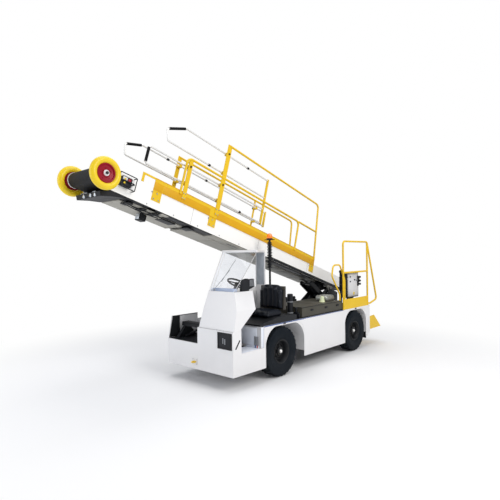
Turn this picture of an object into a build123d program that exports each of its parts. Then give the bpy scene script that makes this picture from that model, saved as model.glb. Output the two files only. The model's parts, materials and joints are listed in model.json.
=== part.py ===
from build123d import *
from math import atan2, cos, degrees, radians, sin, sqrt
import os

# Airport baggage belt loader. Millimetres, X forward, Y to the driver's left, Z up,
# ground at Z = 0, origin under the middle of the whole machine.

# Running gear
wheelbase = 2500.0
front_axle_x = 320.0
wheel_radius = 418.0
tyre_width = 250.0
wheel_plane_y = 643.0
rim_radius = 205.0
rim_width = 190.0
stub_radius = 30.0
kingpin_y = 470.0
kingpin_radius = 25.0
knuckle_radius = 45.0
axle_height = 90.0
running_gap = 0.3

# Body
body_half_width = 768.0
sheet = 10.0
skirt_z = 232.0
arch_head_room = 30.0
arch_front_room = 107.0
arch_lip_width = 80.0
arch_rear_room = 210.0
rear_arch_front_room = 27.0
rear_arch_rear_room = 52.0
arch_crown = 34.0
tail_overhang = 650.0
tail_bottom_z = 300.0
nose_x = 1512.0
nose_joint_x = 855.0
well_edge_x = 800.0
bumper_top_z = 640.0
bay_wall_height = 100.0
bay_wall_lean = 76.0
arch_depth = 448.0
liner_sheet = 6.0
liner_bottom_z = 330.0

# Frame
rail_y = 250.0
rail_width = 80.0
rail_bottom_z = 500.0
rail_height = 150.0

# Cab
cab_right_y = -5.0
well_floor_z = 560.0
well_front_x = 1327.0
dash_height = 558.0
dash_depth = 150.0
ledge_width = 120.0
roof_height = 1178.0
seat_base_height = 100.0
locker_height = 190.0
roof_thickness = 38.0
pillar_x = 82.0
pillar_width = 212.0
pillar_depth = 24.0
glass = 6.0
steering_x = 910.0
steering_y = 300.0
steering_height = 112.0
steering_tilt = 30.0
steering_radius = 180.0
steering_grip = 14.0
spindle_radius = 12.0

# Boom, measured along its own slope s and square to it n, from a datum over the front axle
boom_angle = 16.44
boom_datum_height = 1241.25
boom_left_y = -45.0
boom_right_y = -700.0
boom_sheet = 8.0
panel_height = 290.0
drum_n = 125.0
tip_s = 3000.0
tail_s = -3550.0
drum_radius = 103.0
belt_thickness = 8.0
belt_margin = 27.0
pivot_s = -2958.0
pivot_n = -60.0
pivot_radius = 30.0
guard_top_n = 450.0
guard_height = 180.0
guard_sheet = 6.0
guard_rear_s = -2180.0
guard_front_s = 2152.0

# Lift arm under the boom
lift_foot_x = -2541.0
lift_foot_height = 60.0
lift_arm_length = 754.0
tail_foot_x = -1982.0
tail_foot_height = 50.0
far_arm_y = -450.0
arm_gap = 5.0
arm_half_height = 50.0
roller_n = -95.0
arm_plate = 35.0

# Hand rails
rail_tube = 19.0
thin_tube = 16.0
chrome_tube = 14.0
slider_inset = 40.0
post_plate = 12.0
clamp_half = 26.0
bumper_wheel_radius = 218.5
bumper_tyre_radius = 48.0
bumper_axle_radius = 20.0
bumper_left_y = 125.0
bumper_right_y = -770.0

os.makedirs("parts", exist_ok=True)

rear_axle_x = front_axle_x - wheelbase
tail_x = rear_axle_x - tail_overhang
rail_rear_x = tail_x + 70
arch_top_z = 2 * wheel_radius + arch_head_room
side_top_z = arch_top_z + arch_crown
bay_wall_top_z = side_top_z + bay_wall_height
dash_z = side_top_z + dash_height
roof_z = side_top_z + roof_height
seat_base_z = side_top_z + seat_base_height
locker_top_z = side_top_z + locker_height
steering_centre = (steering_x, steering_y, dash_z + steering_height)
boom_datum_z = side_top_z + boom_datum_height
lift_foot_z = side_top_z + lift_foot_height
tail_foot_z = side_top_z + tail_foot_height
slope_cos = cos(radians(boom_angle))
slope_sin = sin(radians(boom_angle))
boom_middle_y = (boom_left_y + boom_right_y) / 2
inner_y = body_half_width - sheet
rail_top_z = rail_bottom_z + rail_height


def side_plane(y):
    """Upright plane across the machine at y: local x is X, local y is Z, it faces -Y."""
    return Plane.XZ.offset(-y)


def boom_plane(y):
    """Upright plane along the boom at y: local x is s, local y is n, it faces -Y."""
    datum = (front_axle_x, 0, boom_datum_z)
    return Plane(origin=datum, x_dir=(slope_cos, 0, slope_sin), z_dir=(0, -1, 0)).offset(-y)


def boom_point(s, n):
    """World X and Z of a point of the boom."""
    x = front_axle_x + s * slope_cos - n * slope_sin
    z = boom_datum_z + s * slope_sin + n * slope_cos
    return x, z


def patch(u, v):
    """Rectangle of the current sketch between two pairs of coordinates."""
    with Locations(((u[0] + u[1]) / 2, (v[0] + v[1]) / 2)):
        Rectangle(abs(u[1] - u[0]), abs(v[1] - v[0]))


def outline(*points):
    """Straight-sided face of the current sketch."""
    Polygon(*points, align=None)


def block(x, y, z):
    """Flat-sided solid of the current part between three pairs of coordinates."""
    with BuildSketch(Plane.XY.offset(z[0])) as foot:
        patch(x, y)
    extrude(foot.sketch, amount=z[1] - z[0])


def tube(plane, points, bend, radius):
    """Round tube of the current part along straight runs in a plane, joined by bends."""
    with BuildLine(plane) as run:
        if len(points) > 2:
            FilletPolyline(*points, radius=bend)
        else:
            Line(*points)
    with BuildSketch(Plane(origin=run.line @ 0, z_dir=run.line % 0)) as section:
        Circle(radius)
    sweep(section.sketch, path=run.line)


# Chassis frame: two box rails, cross members, pads over both axles, outriggers to the body
with BuildPart() as chassis_frame:
    for side in (-1, 1):
        with BuildSketch(side_plane(side * rail_y + rail_width / 2)):
            patch((rail_rear_x, nose_joint_x), (rail_bottom_z, rail_top_z))
        extrude(amount=rail_width)
        for axle_x in (front_axle_x, rear_axle_x):
            block(
                (axle_x - 90, axle_x + 90),
                (side * rail_y - rail_width / 2, side * rail_y + rail_width / 2),
                (wheel_radius + axle_height / 2, rail_bottom_z),
            )
    for cross_x in (rail_rear_x + 40, rear_axle_x + 540, front_axle_x - 770, nose_joint_x - 45):
        block((cross_x - 30, cross_x + 30), (-rail_y, rail_y), (rail_bottom_z + 20, rail_top_z - 20))
    for outrigger_x in (rail_rear_x + 45, rear_axle_x + 530, front_axle_x - 770):
        block((outrigger_x - 25, outrigger_x + 25), (-inner_y, inner_y), (rail_top_z - 70, rail_top_z))
chassis_frame.part.label = "chassis_frame"
export_step(chassis_frame.part, "parts/chassis_frame.step")

# Battery pack: the one heavy mass, closed inside the body on the frame rails
with BuildPart() as battery_block:
    block((rear_axle_x + 620, front_axle_x - 840), (-600, 600), (rail_top_z, side_top_z - 35))
battery_block.part.label = "battery_block"
export_step(battery_block.part, "parts/battery_block.step")

# Body sides: one sheet per side, both wheel arches with their rounded liners
# arch: rear edge, front edge, corner radius, width of the lip in front
front_arch = (
    front_axle_x - wheel_radius - arch_rear_room,
    front_axle_x + wheel_radius + arch_front_room,
    330.0,
)
rear_arch = (
    rear_axle_x - wheel_radius - rear_arch_rear_room,
    rear_axle_x + wheel_radius + rear_arch_front_room,
    300.0,
)
arches = ((*front_arch, arch_lip_width), (*rear_arch, 0.0))
for name, outer_y, liner_y in (
    ("body_left", body_half_width, inner_y),
    ("body_right", -inner_y, -inner_y + arch_depth),
):
    with BuildPart() as body_side:
        with BuildSketch(side_plane(outer_y)):
            outline(
                (nose_joint_x, skirt_z),
                (nose_joint_x, side_top_z),
                (tail_x, side_top_z),
                (tail_x, tail_bottom_z),
                (rear_arch[0] - 60, skirt_z),
            )
        extrude(amount=sheet)
        with BuildSketch(side_plane(outer_y + 1)):
            if outer_y > 0:
                patch((well_edge_x, nose_joint_x + 1), (well_floor_z, side_top_z + 1))
            else:
                patch((nose_joint_x, nose_joint_x + 1), (skirt_z, skirt_z + 1))
        extrude(amount=sheet + 2, mode=Mode.SUBTRACT)
        for rear, front, corner, lip in arches:
            with BuildSketch(side_plane(liner_y)) as liner:
                patch((rear - liner_sheet, front + liner_sheet), (liner_bottom_z, arch_top_z + liner_sheet))
                fillet(liner.vertices().group_by(Axis.Y)[-1], corner + liner_sheet)
            extrude(amount=arch_depth)
        for rear, front, corner, lip in arches:
            with BuildSketch(side_plane(inner_y)) as hollow:
                patch((rear, front), (skirt_z - sheet, arch_top_z))
                fillet(hollow.vertices().group_by(Axis.Y)[-1], corner)
            extrude(amount=2 * inner_y, mode=Mode.SUBTRACT)
            with BuildSketch(side_plane(body_half_width)) as opening:
                patch((rear, front - lip), (skirt_z - sheet, arch_top_z))
                fillet(opening.vertices().group_by(Axis.Y)[-1], corner)
            extrude(amount=2 * body_half_width, mode=Mode.SUBTRACT)
    body_side.part.label = name
    export_step(body_side.part, "parts/" + name + ".step")

# Deck over the wheels with the tail panel turned down behind it
with BuildPart() as deck:
    block((tail_x, nose_joint_x), (-inner_y, inner_y), (side_top_z - sheet, side_top_z))
    block((tail_x, tail_x + sheet), (-inner_y, inner_y), (tail_bottom_z, side_top_z - sheet))
deck.part.label = "deck"
export_step(deck.part, "parts/deck.step")

# Nose: front bumper box, foot well on the left, open bay for the lowered boom on the right
bay_left_y = cab_right_y - sheet
with BuildPart() as nose_shell:
    with BuildSketch(Plane.YZ.offset(nose_x - sheet)):
        patch((-body_half_width, body_half_width), (skirt_z, bumper_top_z))
        patch((bay_left_y, body_half_width), (bumper_top_z, side_top_z))
    extrude(amount=sheet)
    with BuildSketch(side_plane(body_half_width)):
        outline(
            (nose_joint_x, skirt_z),
            (nose_x - sheet, skirt_z),
            (nose_x - sheet, side_top_z),
            (well_front_x, side_top_z),
            (well_front_x, well_floor_z),
            (nose_joint_x, well_floor_z),
        )
    extrude(amount=sheet)
    with BuildSketch(side_plane(-inner_y)):
        outline(
            (nose_joint_x, skirt_z),
            (nose_x - sheet, skirt_z),
            (nose_x - sheet, bumper_top_z),
            (nose_x - bay_wall_lean, bay_wall_top_z),
            (nose_joint_x, bay_wall_top_z),
        )
    extrude(amount=sheet)
    block((nose_joint_x, nose_x - sheet), (bay_left_y, cab_right_y), (well_floor_z - sheet, side_top_z))
    block((nose_joint_x, nose_x - sheet), (cab_right_y, inner_y), (well_floor_z - sheet, well_floor_z))
    block((nose_joint_x, nose_x - sheet), (-inner_y, bay_left_y), (bumper_top_z - sheet, bumper_top_z))
    block((nose_joint_x, nose_joint_x + sheet), (-inner_y, inner_y), (rail_bottom_z - 60, side_top_z))
nose_shell.part.label = "nose_shell"
export_step(nose_shell.part, "parts/nose_shell.step")

# Rest for the lowered boom: two side stands and a rounded pad across them
rest_top_z = side_top_z - 10
with BuildPart() as boom_rest:
    for stand_y in (-640.0, -140.0):
        with BuildSketch(side_plane(stand_y + 30)):
            outline(
                (1010, bumper_top_z),
                (1420, bumper_top_z),
                (1250, rest_top_z - 60),
                (1150, rest_top_z - 60),
            )
        extrude(amount=60)
    with BuildSketch(side_plane(-90)) as pad:
        patch((1130, 1270), (rest_top_z - 60, rest_top_z))
        fillet(pad.vertices().group_by(Axis.Y)[-1], 25)
    extrude(amount=600)
boom_rest.part.label = "boom_rest"
export_step(boom_rest.part, "parts/boom_rest.step")

# Cab shell: folded cowl, right wall and the rear right pillar
# cowl: height, front face at the right, front face at the left, left side
elbow_z = side_top_z + 285
cowl_table = (
    (side_top_z, 1487.0, 1487.0, body_half_width),
    (elbow_z, 1388.0, 1365.0, body_half_width - 58),
    (dash_z, 1271.0, 1235.0, body_half_width - 226),
)
cowl_back_x = 600.0
door_edge = ((well_front_x, side_top_z + 25), (930.0, elbow_z), (812.0, dash_z))
with BuildPart() as cab_shell:
    for inset, reach, mode in ((0.0, 0.0, Mode.ADD), (sheet, 2.0, Mode.SUBTRACT)):
        for lower, upper in zip(cowl_table[:-1], cowl_table[1:]):
            for height, right_x, left_x, left_y in (lower, upper):
                if height == side_top_z:
                    level = height - reach
                elif height > elbow_z:
                    level = height + reach
                else:
                    level = height
                with BuildSketch(Plane.XY.offset(level)):
                    outline(
                        (cowl_back_x - reach, cab_right_y + inset),
                        (right_x - inset, cab_right_y + inset),
                        (left_x - inset, left_y - inset),
                        (cowl_back_x - reach, left_y - inset),
                    )
            loft(ruled=True, mode=mode)
    with BuildSketch(side_plane(body_half_width + 5)):
        outline(
            (cowl_back_x - 5, side_top_z - 5),
            (well_front_x, side_top_z - 5),
            *door_edge,
            (812.0, dash_z + 5),
            (cowl_back_x - 5, dash_z + 5),
        )
    extrude(amount=body_half_width + 5 - cab_right_y - sheet, mode=Mode.SUBTRACT)
    with BuildSketch(Plane.XY.offset(dash_z - sheet)):
        outline(
            (cowl_table[-1][1] - dash_depth, cab_right_y + sheet / 2),
            (cowl_table[-1][1] - sheet / 2, cab_right_y + sheet / 2),
            (cowl_table[-1][2] - sheet / 2, cowl_table[-1][3] - sheet / 2),
            (850, cowl_table[-1][3] - sheet / 2),
            (850, cowl_table[-1][3] - ledge_width),
            (cowl_table[-1][1] - dash_depth, cowl_table[-1][3] - ledge_width),
        )
    extrude(amount=sheet)
    block((pillar_x, cowl_back_x), (cab_right_y, cab_right_y + sheet), (side_top_z, dash_z))
    block(
        (pillar_x, pillar_x + pillar_depth),
        (cab_right_y, cab_right_y + pillar_width),
        (side_top_z, roof_z),
    )
cab_shell.part.label = "cab_shell"
export_step(cab_shell.part, "parts/cab_shell.step")

# Cab glass: the raked windscreen and the fixed pane on the boom's side
screen_foot_right = Vector(cowl_table[-1][1] - sheet, cab_right_y + glass, dash_z)
screen_foot_left = Vector(cowl_table[-1][2] - sheet, cowl_table[-1][3] - sheet, dash_z)
screen_head_right = Vector(947, cab_right_y + glass, roof_z)
foot_run = screen_foot_left - screen_foot_right
screen_head_left = screen_head_right + foot_run * 1.36
screen_plane = Plane(
    origin=screen_foot_right,
    x_dir=foot_run,
    z_dir=foot_run.cross(screen_head_right - screen_foot_right),
)
screen_corners = [
    screen_plane.to_local_coords(corner)
    for corner in (screen_foot_right, screen_foot_left, screen_head_left, screen_head_right)
]
with BuildPart() as cab_glass:
    with BuildSketch(screen_plane):
        outline(*[(corner.X, corner.Y) for corner in screen_corners])
    extrude(amount=-glass)
    with BuildSketch(side_plane(cab_right_y + glass)):
        outline(
            (pillar_x + pillar_depth, dash_z),
            (screen_foot_right.X - glass * 2, dash_z),
            (screen_head_right.X - glass * 2, roof_z),
            (pillar_x + pillar_depth, roof_z),
        )
    extrude(amount=glass)
    split(bisect_by=Plane.XY.offset(dash_z), keep=Keep.TOP)
    split(bisect_by=Plane.XY.offset(roof_z), keep=Keep.BOTTOM)
cab_glass.part.label = "cab_glass"
export_step(cab_glass.part, "parts/cab_glass.step")

# Cab roof: a flat tray, wide over the screen and narrow at the pillar
with BuildPart() as cab_roof:
    with BuildSketch(Plane.XY.offset(roof_z)) as roof_face:
        outline((965, cab_right_y), (915, 740), (105, 212), (pillar_x, cab_right_y))
        fillet(roof_face.vertices(), 12)
    extrude(amount=roof_thickness)
    fillet(cab_roof.edges().group_by(Axis.Z)[-1], 8)
cab_roof.part.label = "cab_roof"
export_step(cab_roof.part, "parts/cab_roof.step")

pod_y = body_half_width - 228

# Dashboard: console under the cowl, instrument pod on the left ledge, steering column
steering_axis = Vector(-sin(radians(steering_tilt)), 0, cos(radians(steering_tilt)))
steering_plane = Plane(origin=steering_centre, x_dir=(0, 1, 0), z_dir=steering_axis)
with BuildPart() as dashboard:
    with BuildSketch(side_plane(pod_y - 40)):
        outline((1075, dash_z - 168), (1190, dash_z - 168), (1205, dash_z - 10), (1075, dash_z - 10))
    extrude(amount=440)
    with BuildSketch(steering_plane.offset(-40)):
        Circle(32)
    extrude(amount=-330)
    with BuildSketch(steering_plane.offset(-12)):
        Circle(spindle_radius)
    extrude(amount=-40)
    with BuildSketch(side_plane(pod_y)) as pod:
        outline((890, dash_z), (1060, dash_z), (1040, dash_z + 182), (905, dash_z + 202))
        fillet(pod.vertices().group_by(Axis.Y)[-1], 20)
    extrude(amount=50)
    with BuildSketch(side_plane(pod_y)) as rear_pod:
        outline((760, dash_z + 62), (890, dash_z + 22), (905, dash_z + 182), (770, dash_z + 192))
        fillet(rear_pod.vertices().group_by(Axis.Y)[-1], 20)
    extrude(amount=50)
dashboard.part.label = "dashboard"
export_step(dashboard.part, "parts/dashboard.step")

# Steering wheel: rim, three spokes and hub
with BuildPart() as steering_wheel:
    with BuildSketch(Plane(origin=steering_plane.origin, x_dir=steering_axis, z_dir=(0, 1, 0))):
        with Locations((0, steering_radius - steering_grip)):
            Circle(steering_grip)
    revolve(axis=Axis(steering_plane.origin, steering_axis))
    with BuildSketch(steering_plane.offset(-34)):
        Circle(38)
    extrude(amount=40)
    with BuildSketch(steering_plane.offset(-8)):
        for spoke_angle in (90, 210, 330):
            with Locations(Location((0, 0, 0), (0, 0, spoke_angle))):
                Rectangle(steering_radius - steering_grip, 26, align=(Align.MIN, Align.CENTER))
    extrude(amount=12)
    with BuildSketch(steering_plane.offset(-34)):
        Circle(spindle_radius + running_gap)
    extrude(amount=24, mode=Mode.SUBTRACT)
steering_wheel.part.label = "steering_wheel"
export_step(steering_wheel.part, "parts/steering_wheel.step")

# Seat plinth over the left front wheel, with a sloping step-over in front
with BuildPart() as seat_base:
    with BuildSketch(side_plane(inner_y)) as plinth:
        outline(
            (-100, side_top_z),
            (-100, seat_base_z - 15),
            (-40, seat_base_z),
            (445, seat_base_z),
            (880, side_top_z + 25),
            (880, side_top_z),
        )
    extrude(amount=inner_y - cab_right_y - pillar_width - 1)
    with BuildSketch(side_plane(cab_right_y + pillar_width + 1)):
        outline(
            (pillar_x + pillar_depth + 1, side_top_z),
            (pillar_x + pillar_depth + 1, seat_base_z),
            (445, seat_base_z),
            (880, side_top_z + 25),
            (880, side_top_z),
        )
    extrude(amount=pillar_width - sheet)
seat_base.part.label = "seat_base"
export_step(seat_base.part, "parts/seat_base.step")

# Seat: cushion and raked back rest
seat_left_y = body_half_width - 68
seat_width = 540.0
with BuildPart() as seat:
    with BuildSketch(side_plane(seat_left_y)) as seat_side:
        outline(
            (125, seat_base_z),
            (600, seat_base_z),
            (620, seat_base_z + 90),
            (250, seat_base_z + 105),
            (215, seat_base_z + 545),
            (113, seat_base_z + 545),
        )
        fillet(seat_side.vertices().group_by(Axis.Y)[-1], 35)
    extrude(amount=seat_width)
seat.part.label = "seat"
export_step(seat.part, "parts/seat.step")

# Upright canister behind the seat
with BuildPart() as canister:
    with BuildSketch(Plane.XY.offset(side_top_z)):
        with Locations((-190, 550)):
            Circle(52)
    extrude(amount=430)
    fillet(canister.edges().group_by(Axis.Z)[-1], 18)
canister.part.label = "canister"
export_step(canister.part, "parts/canister.step")

# Head lamp panel let into the front of the nose
with BuildPart() as head_lamp:
    with BuildSketch(Plane.YZ.offset(nose_x)) as lamp_face:
        patch((445, 750), (630, 880))
        fillet(lamp_face.vertices(), 16)
    extrude(amount=8)
head_lamp.part.label = "head_lamp"
export_step(head_lamp.part, "parts/head_lamp.step")

platform_front_x = rear_axle_x + 468
platform_rear_x = rear_axle_x - 567
platform_top_z = side_top_z + 1388

# Front tow eye: a flat tongue with a round hole, under the boom's bay
tow_eye_y = -75.0
tow_eye_z = 340.0
with BuildPart() as tow_eye:
    with BuildSketch(Plane.XY.offset(tow_eye_z)) as tongue:
        patch((nose_x, nose_x + 75), (tow_eye_y - 40, tow_eye_y + 40))
        fillet(tongue.vertices().group_by(Axis.X)[-1], 30)
        with Locations((nose_x + 38, tow_eye_y)):
            Circle(16, mode=Mode.SUBTRACT)
    extrude(amount=20)
    with BuildSketch(Plane.YZ.offset(nose_x)):
        patch((tow_eye_y - 60, tow_eye_y + 60), (tow_eye_z - 40, tow_eye_z + 60))
    extrude(amount=8)
tow_eye.part.label = "tow_eye"
export_step(tow_eye.part, "parts/tow_eye.step")

# Long locker on the left of the deck, with a filler neck and a rounded cover on its lid
with BuildPart() as deck_locker:
    block((platform_front_x + 22, -290), (10, 740), (side_top_z, locker_top_z))
    chamfer(deck_locker.edges().filter_by(Axis.X).group_by(Axis.Z)[-1], 14)
    with BuildSketch(Plane.XY.offset(locker_top_z)):
        with Locations((-1230, 560)):
            Circle(48)
    extrude(amount=110, taper=12)
    with BuildSketch(Plane.XY.offset(locker_top_z)) as cover:
        patch((-1640, -1330), (330, 600))
        fillet(cover.vertices(), 60)
    extrude(amount=110, taper=10)
deck_locker.part.label = "deck_locker"
export_step(deck_locker.part, "parts/deck_locker.step")

# Beacon on its mast behind the seat, with the bellows that covers the telescopic part
mast_x = 20.0
mast_y = 262.0
mast_height = 1310.0
with BuildPart() as beacon_mast:
    with BuildSketch(Plane.XY.offset(seat_base_z)):
        with Locations((mast_x, mast_y)):
            Circle(19)
    extrude(amount=mast_height - 12)
    for ring in range(9):
        with BuildSketch(Plane.XY.offset(seat_base_z + 800 + 52 * ring)):
            with Locations((mast_x, mast_y)):
                Circle(46)
        extrude(amount=20)
    block(
        (mast_x - 12, mast_x + 12),
        (mast_y - 110, mast_y + 110),
        (seat_base_z + mast_height - 12, seat_base_z + mast_height),
    )
beacon_mast.part.label = "beacon_mast"
export_step(beacon_mast.part, "parts/beacon_mast.step")

with BuildPart() as beacon:
    with BuildSketch(Plane.XY.offset(seat_base_z + mast_height)):
        with Locations((mast_x, mast_y)):
            Circle(56)
    extrude(amount=110)
    fillet(beacon.edges().group_by(Axis.Z)[-1], 30)
beacon.part.label = "beacon"
export_step(beacon.part, "parts/beacon.step")

# Rear platform rail: kick plate, bent tube frame and the raked hoop beside the steps
platform_y = body_half_width - 8
with BuildPart() as platform_rail:
    tube(
        side_plane(platform_y),
        (
            (platform_front_x, side_top_z),
            (platform_front_x, platform_top_z),
            (platform_rear_x, platform_top_z),
            (platform_rear_x - 438, side_top_z + 106),
            (platform_rear_x - 115, side_top_z + 33),
            (platform_rear_x, side_top_z + 44),
        ),
        70,
        rail_tube,
    )
    tube(
        side_plane(platform_y),
        ((platform_rear_x, side_top_z), (platform_rear_x, platform_top_z - 25)),
        0,
        rail_tube,
    )
    tube(
        side_plane(platform_y),
        ((platform_front_x, side_top_z + 750), (platform_rear_x, side_top_z + 750)),
        0,
        rail_tube,
    )
    with BuildSketch(side_plane(platform_y + 4)):
        patch((platform_front_x, platform_rear_x), (side_top_z, side_top_z + 207))
    extrude(amount=8)
    split(bisect_by=Plane.XY.offset(side_top_z), keep=Keep.TOP)
platform_rail.part.label = "platform_rail"
export_step(platform_rail.part, "parts/platform_rail.step")

# Grab hoop at the end of the locker
with BuildPart() as grab_hoop:
    tube(
        side_plane(716),
        (
            (-1640, locker_top_z),
            (-1640, locker_top_z + 125),
            (-1345, locker_top_z + 510),
            (-1400, locker_top_z + 722),
            (-1650, locker_top_z + 722),
            (-1840, locker_top_z + 410),
            (-1840, side_top_z),
        ),
        95,
        thin_tube,
    )
    split(bisect_by=Plane.XY.offset(side_top_z), keep=Keep.TOP)
grab_hoop.part.label = "grab_hoop"
export_step(grab_hoop.part, "parts/grab_hoop.step")

# Operator's cabinet on the platform, its stand, joystick housing and lever
with BuildPart() as control_cabinet:
    with BuildSketch(side_plane(625)) as cabinet_face:
        patch((-2590, -2080), (side_top_z + 200, side_top_z + 720))
        fillet(cabinet_face.vertices(), 12)
    extrude(amount=130)
    block((-2400, -2270), (510, 610), (side_top_z, side_top_z + 200))
    with BuildSketch(side_plane(610)) as joystick_box:
        patch((-2680, -2590), (side_top_z + 500, side_top_z + 610))
        fillet(joystick_box.vertices(), 20)
    extrude(amount=90)
    with BuildSketch(Plane.XY.offset(side_top_z)):
        with Locations((-1790, 655)):
            Circle(24)
    extrude(amount=800)
control_cabinet.part.label = "control_cabinet"
export_step(control_cabinet.part, "parts/control_cabinet.step")

# Rear steps: two cheek plates with two treads
with BuildPart() as rear_step:
    for cheek_y in (750.0, 308.0):
        with BuildSketch(side_plane(cheek_y)):
            outline(
                (tail_x, 640),
                (tail_x - 245, 650),
                (tail_x - 572, 360),
                (tail_x - 32, 355),
                (tail_x, 400),
            )
        extrude(amount=8)
    for tread_x, tread_z in ((tail_x - 400, 370.0), (tail_x - 180, 560.0)):
        block((tread_x - 115, tread_x + 115), (300, 742), (tread_z, tread_z + 25))
rear_step.part.label = "rear_step"
export_step(rear_step.part, "parts/rear_step.step")

# Front axle: square beam with a fork at each end around the king pin
fork_z = 60.0
fork_ear = 40.0
with BuildPart() as front_axle:
    block(
        (front_axle_x - 45, front_axle_x + 45),
        (-kingpin_y + 50, kingpin_y - 50),
        (wheel_radius - axle_height / 2, wheel_radius + axle_height / 2),
    )
    for side in (-1, 1):
        fork_y = (side * (kingpin_y - 90), side * (kingpin_y + 40))
        for ear_z in (wheel_radius + fork_z, wheel_radius - fork_z - 15):
            block((front_axle_x - 45, front_axle_x + 45), fork_y, (ear_z, ear_z + 15))
        block(
            (front_axle_x - 45, front_axle_x + 45),
            (side * (kingpin_y - 90), side * (kingpin_y - 50)),
            (wheel_radius - fork_z, wheel_radius + fork_z),
        )
        with BuildSketch(Plane.XY.offset(wheel_radius - 100)):
            with Locations((front_axle_x, side * kingpin_y)):
                Circle(kingpin_radius + running_gap)
        extrude(amount=200, mode=Mode.SUBTRACT)
front_axle.part.label = "front_axle"
export_step(front_axle.part, "parts/front_axle.step")

# Steering knuckles: barrel between the fork ears, king pin and stub axle
hub_face_y = wheel_plane_y - rim_width / 2
stub_end_y = wheel_plane_y + 40
for name, side in (("knuckle_left", 1), ("knuckle_right", -1)):
    with BuildPart() as knuckle:
        with BuildSketch(Plane.XY.offset(wheel_radius - fork_z + 1)):
            with Locations((front_axle_x, side * kingpin_y)):
                Circle(knuckle_radius)
        extrude(amount=2 * fork_z - 2)
        with BuildSketch(Plane.XY.offset(wheel_radius - fork_z - 13)):
            with Locations((front_axle_x, side * kingpin_y)):
                Circle(kingpin_radius)
        extrude(amount=2 * fork_z + 26)
        with BuildSketch(side_plane(side * kingpin_y)):
            with Locations((front_axle_x, wheel_radius)):
                Circle(stub_radius)
        extrude(amount=-side * (stub_end_y - kingpin_y))
    knuckle.part.label = name
    export_step(knuckle.part, "parts/" + name + ".step")

# Rear axle: round housing with the final drive bulb and stub ends
with BuildPart() as rear_axle:
    with BuildSketch(side_plane(hub_face_y - 12)):
        with Locations((rear_axle_x, wheel_radius)):
            Circle(axle_height / 2)
    extrude(amount=2 * (hub_face_y - 12))
    with BuildSketch(side_plane(stub_end_y)):
        with Locations((rear_axle_x, wheel_radius)):
            Circle(stub_radius)
    extrude(amount=2 * stub_end_y)
    with Locations((rear_axle_x, 0, wheel_radius)):
        Sphere(145)
rear_axle.part.label = "rear_axle"
export_step(rear_axle.part, "parts/rear_axle.step")

# Road wheels: tyre with shoulders and lug grooves, dished rim with hub
# station: node ending, axle position, side
wheel_table = (
    ("front_left", front_axle_x, 1),
    ("front_right", front_axle_x, -1),
    ("rear_left", rear_axle_x, 1),
    ("rear_right", rear_axle_x, -1),
)
half_tyre = tyre_width / 2
half_rim = rim_width / 2
for ending, axle_x, side in wheel_table:
    wheel_axis = Axis((axle_x, 0, wheel_radius), (0, 1, 0))
    middle_y = side * wheel_plane_y
    section_plane = Plane(origin=(axle_x, middle_y, wheel_radius), x_dir=(0, side, 0), z_dir=(side, 0, 0))
    with BuildPart() as tyre:
        with BuildSketch(section_plane):
            with BuildLine():
                Polyline(
                    (-half_rim, rim_radius),
                    (-half_tyre + 12, rim_radius + 60),
                    (-half_tyre, rim_radius + 120),
                    (-half_tyre + 6, wheel_radius - 32),
                    (-half_tyre + 34, wheel_radius - 6),
                    (0, wheel_radius),
                    (half_tyre - 34, wheel_radius - 6),
                    (half_tyre - 6, wheel_radius - 32),
                    (half_tyre, rim_radius + 120),
                    (half_tyre - 12, rim_radius + 60),
                    (half_rim, rim_radius),
                    close=True,
                )
            make_face()
        revolve(axis=wheel_axis)
    tyre.part.label = "tyre_" + ending
    export_step(tyre.part, "parts/tyre_" + ending + ".step")
    with BuildPart() as rim:
        with BuildSketch(section_plane):
            outline(
                (-half_rim, rim_radius - 25),
                (-half_rim, rim_radius - running_gap),
                (half_rim, rim_radius - running_gap),
                (half_rim, rim_radius - 25),
                (half_rim - 30, rim_radius - 40),
                (20, rim_radius - 55),
                (0, 110),
                (30, 95),
                (30, 75),
                (70, 70),
                (70, 0),
                (45, 0),
                (45, stub_radius + running_gap),
                (-40, stub_radius + running_gap),
                (-40, 75),
                (-10, 95),
                (-10, rim_radius - 45),
                (-half_rim + 20, rim_radius - 35),
            )
        revolve(axis=wheel_axis)
    rim.part.label = "rim_" + ending
    export_step(rim.part, "parts/rim_" + ending + ".step")

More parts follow.
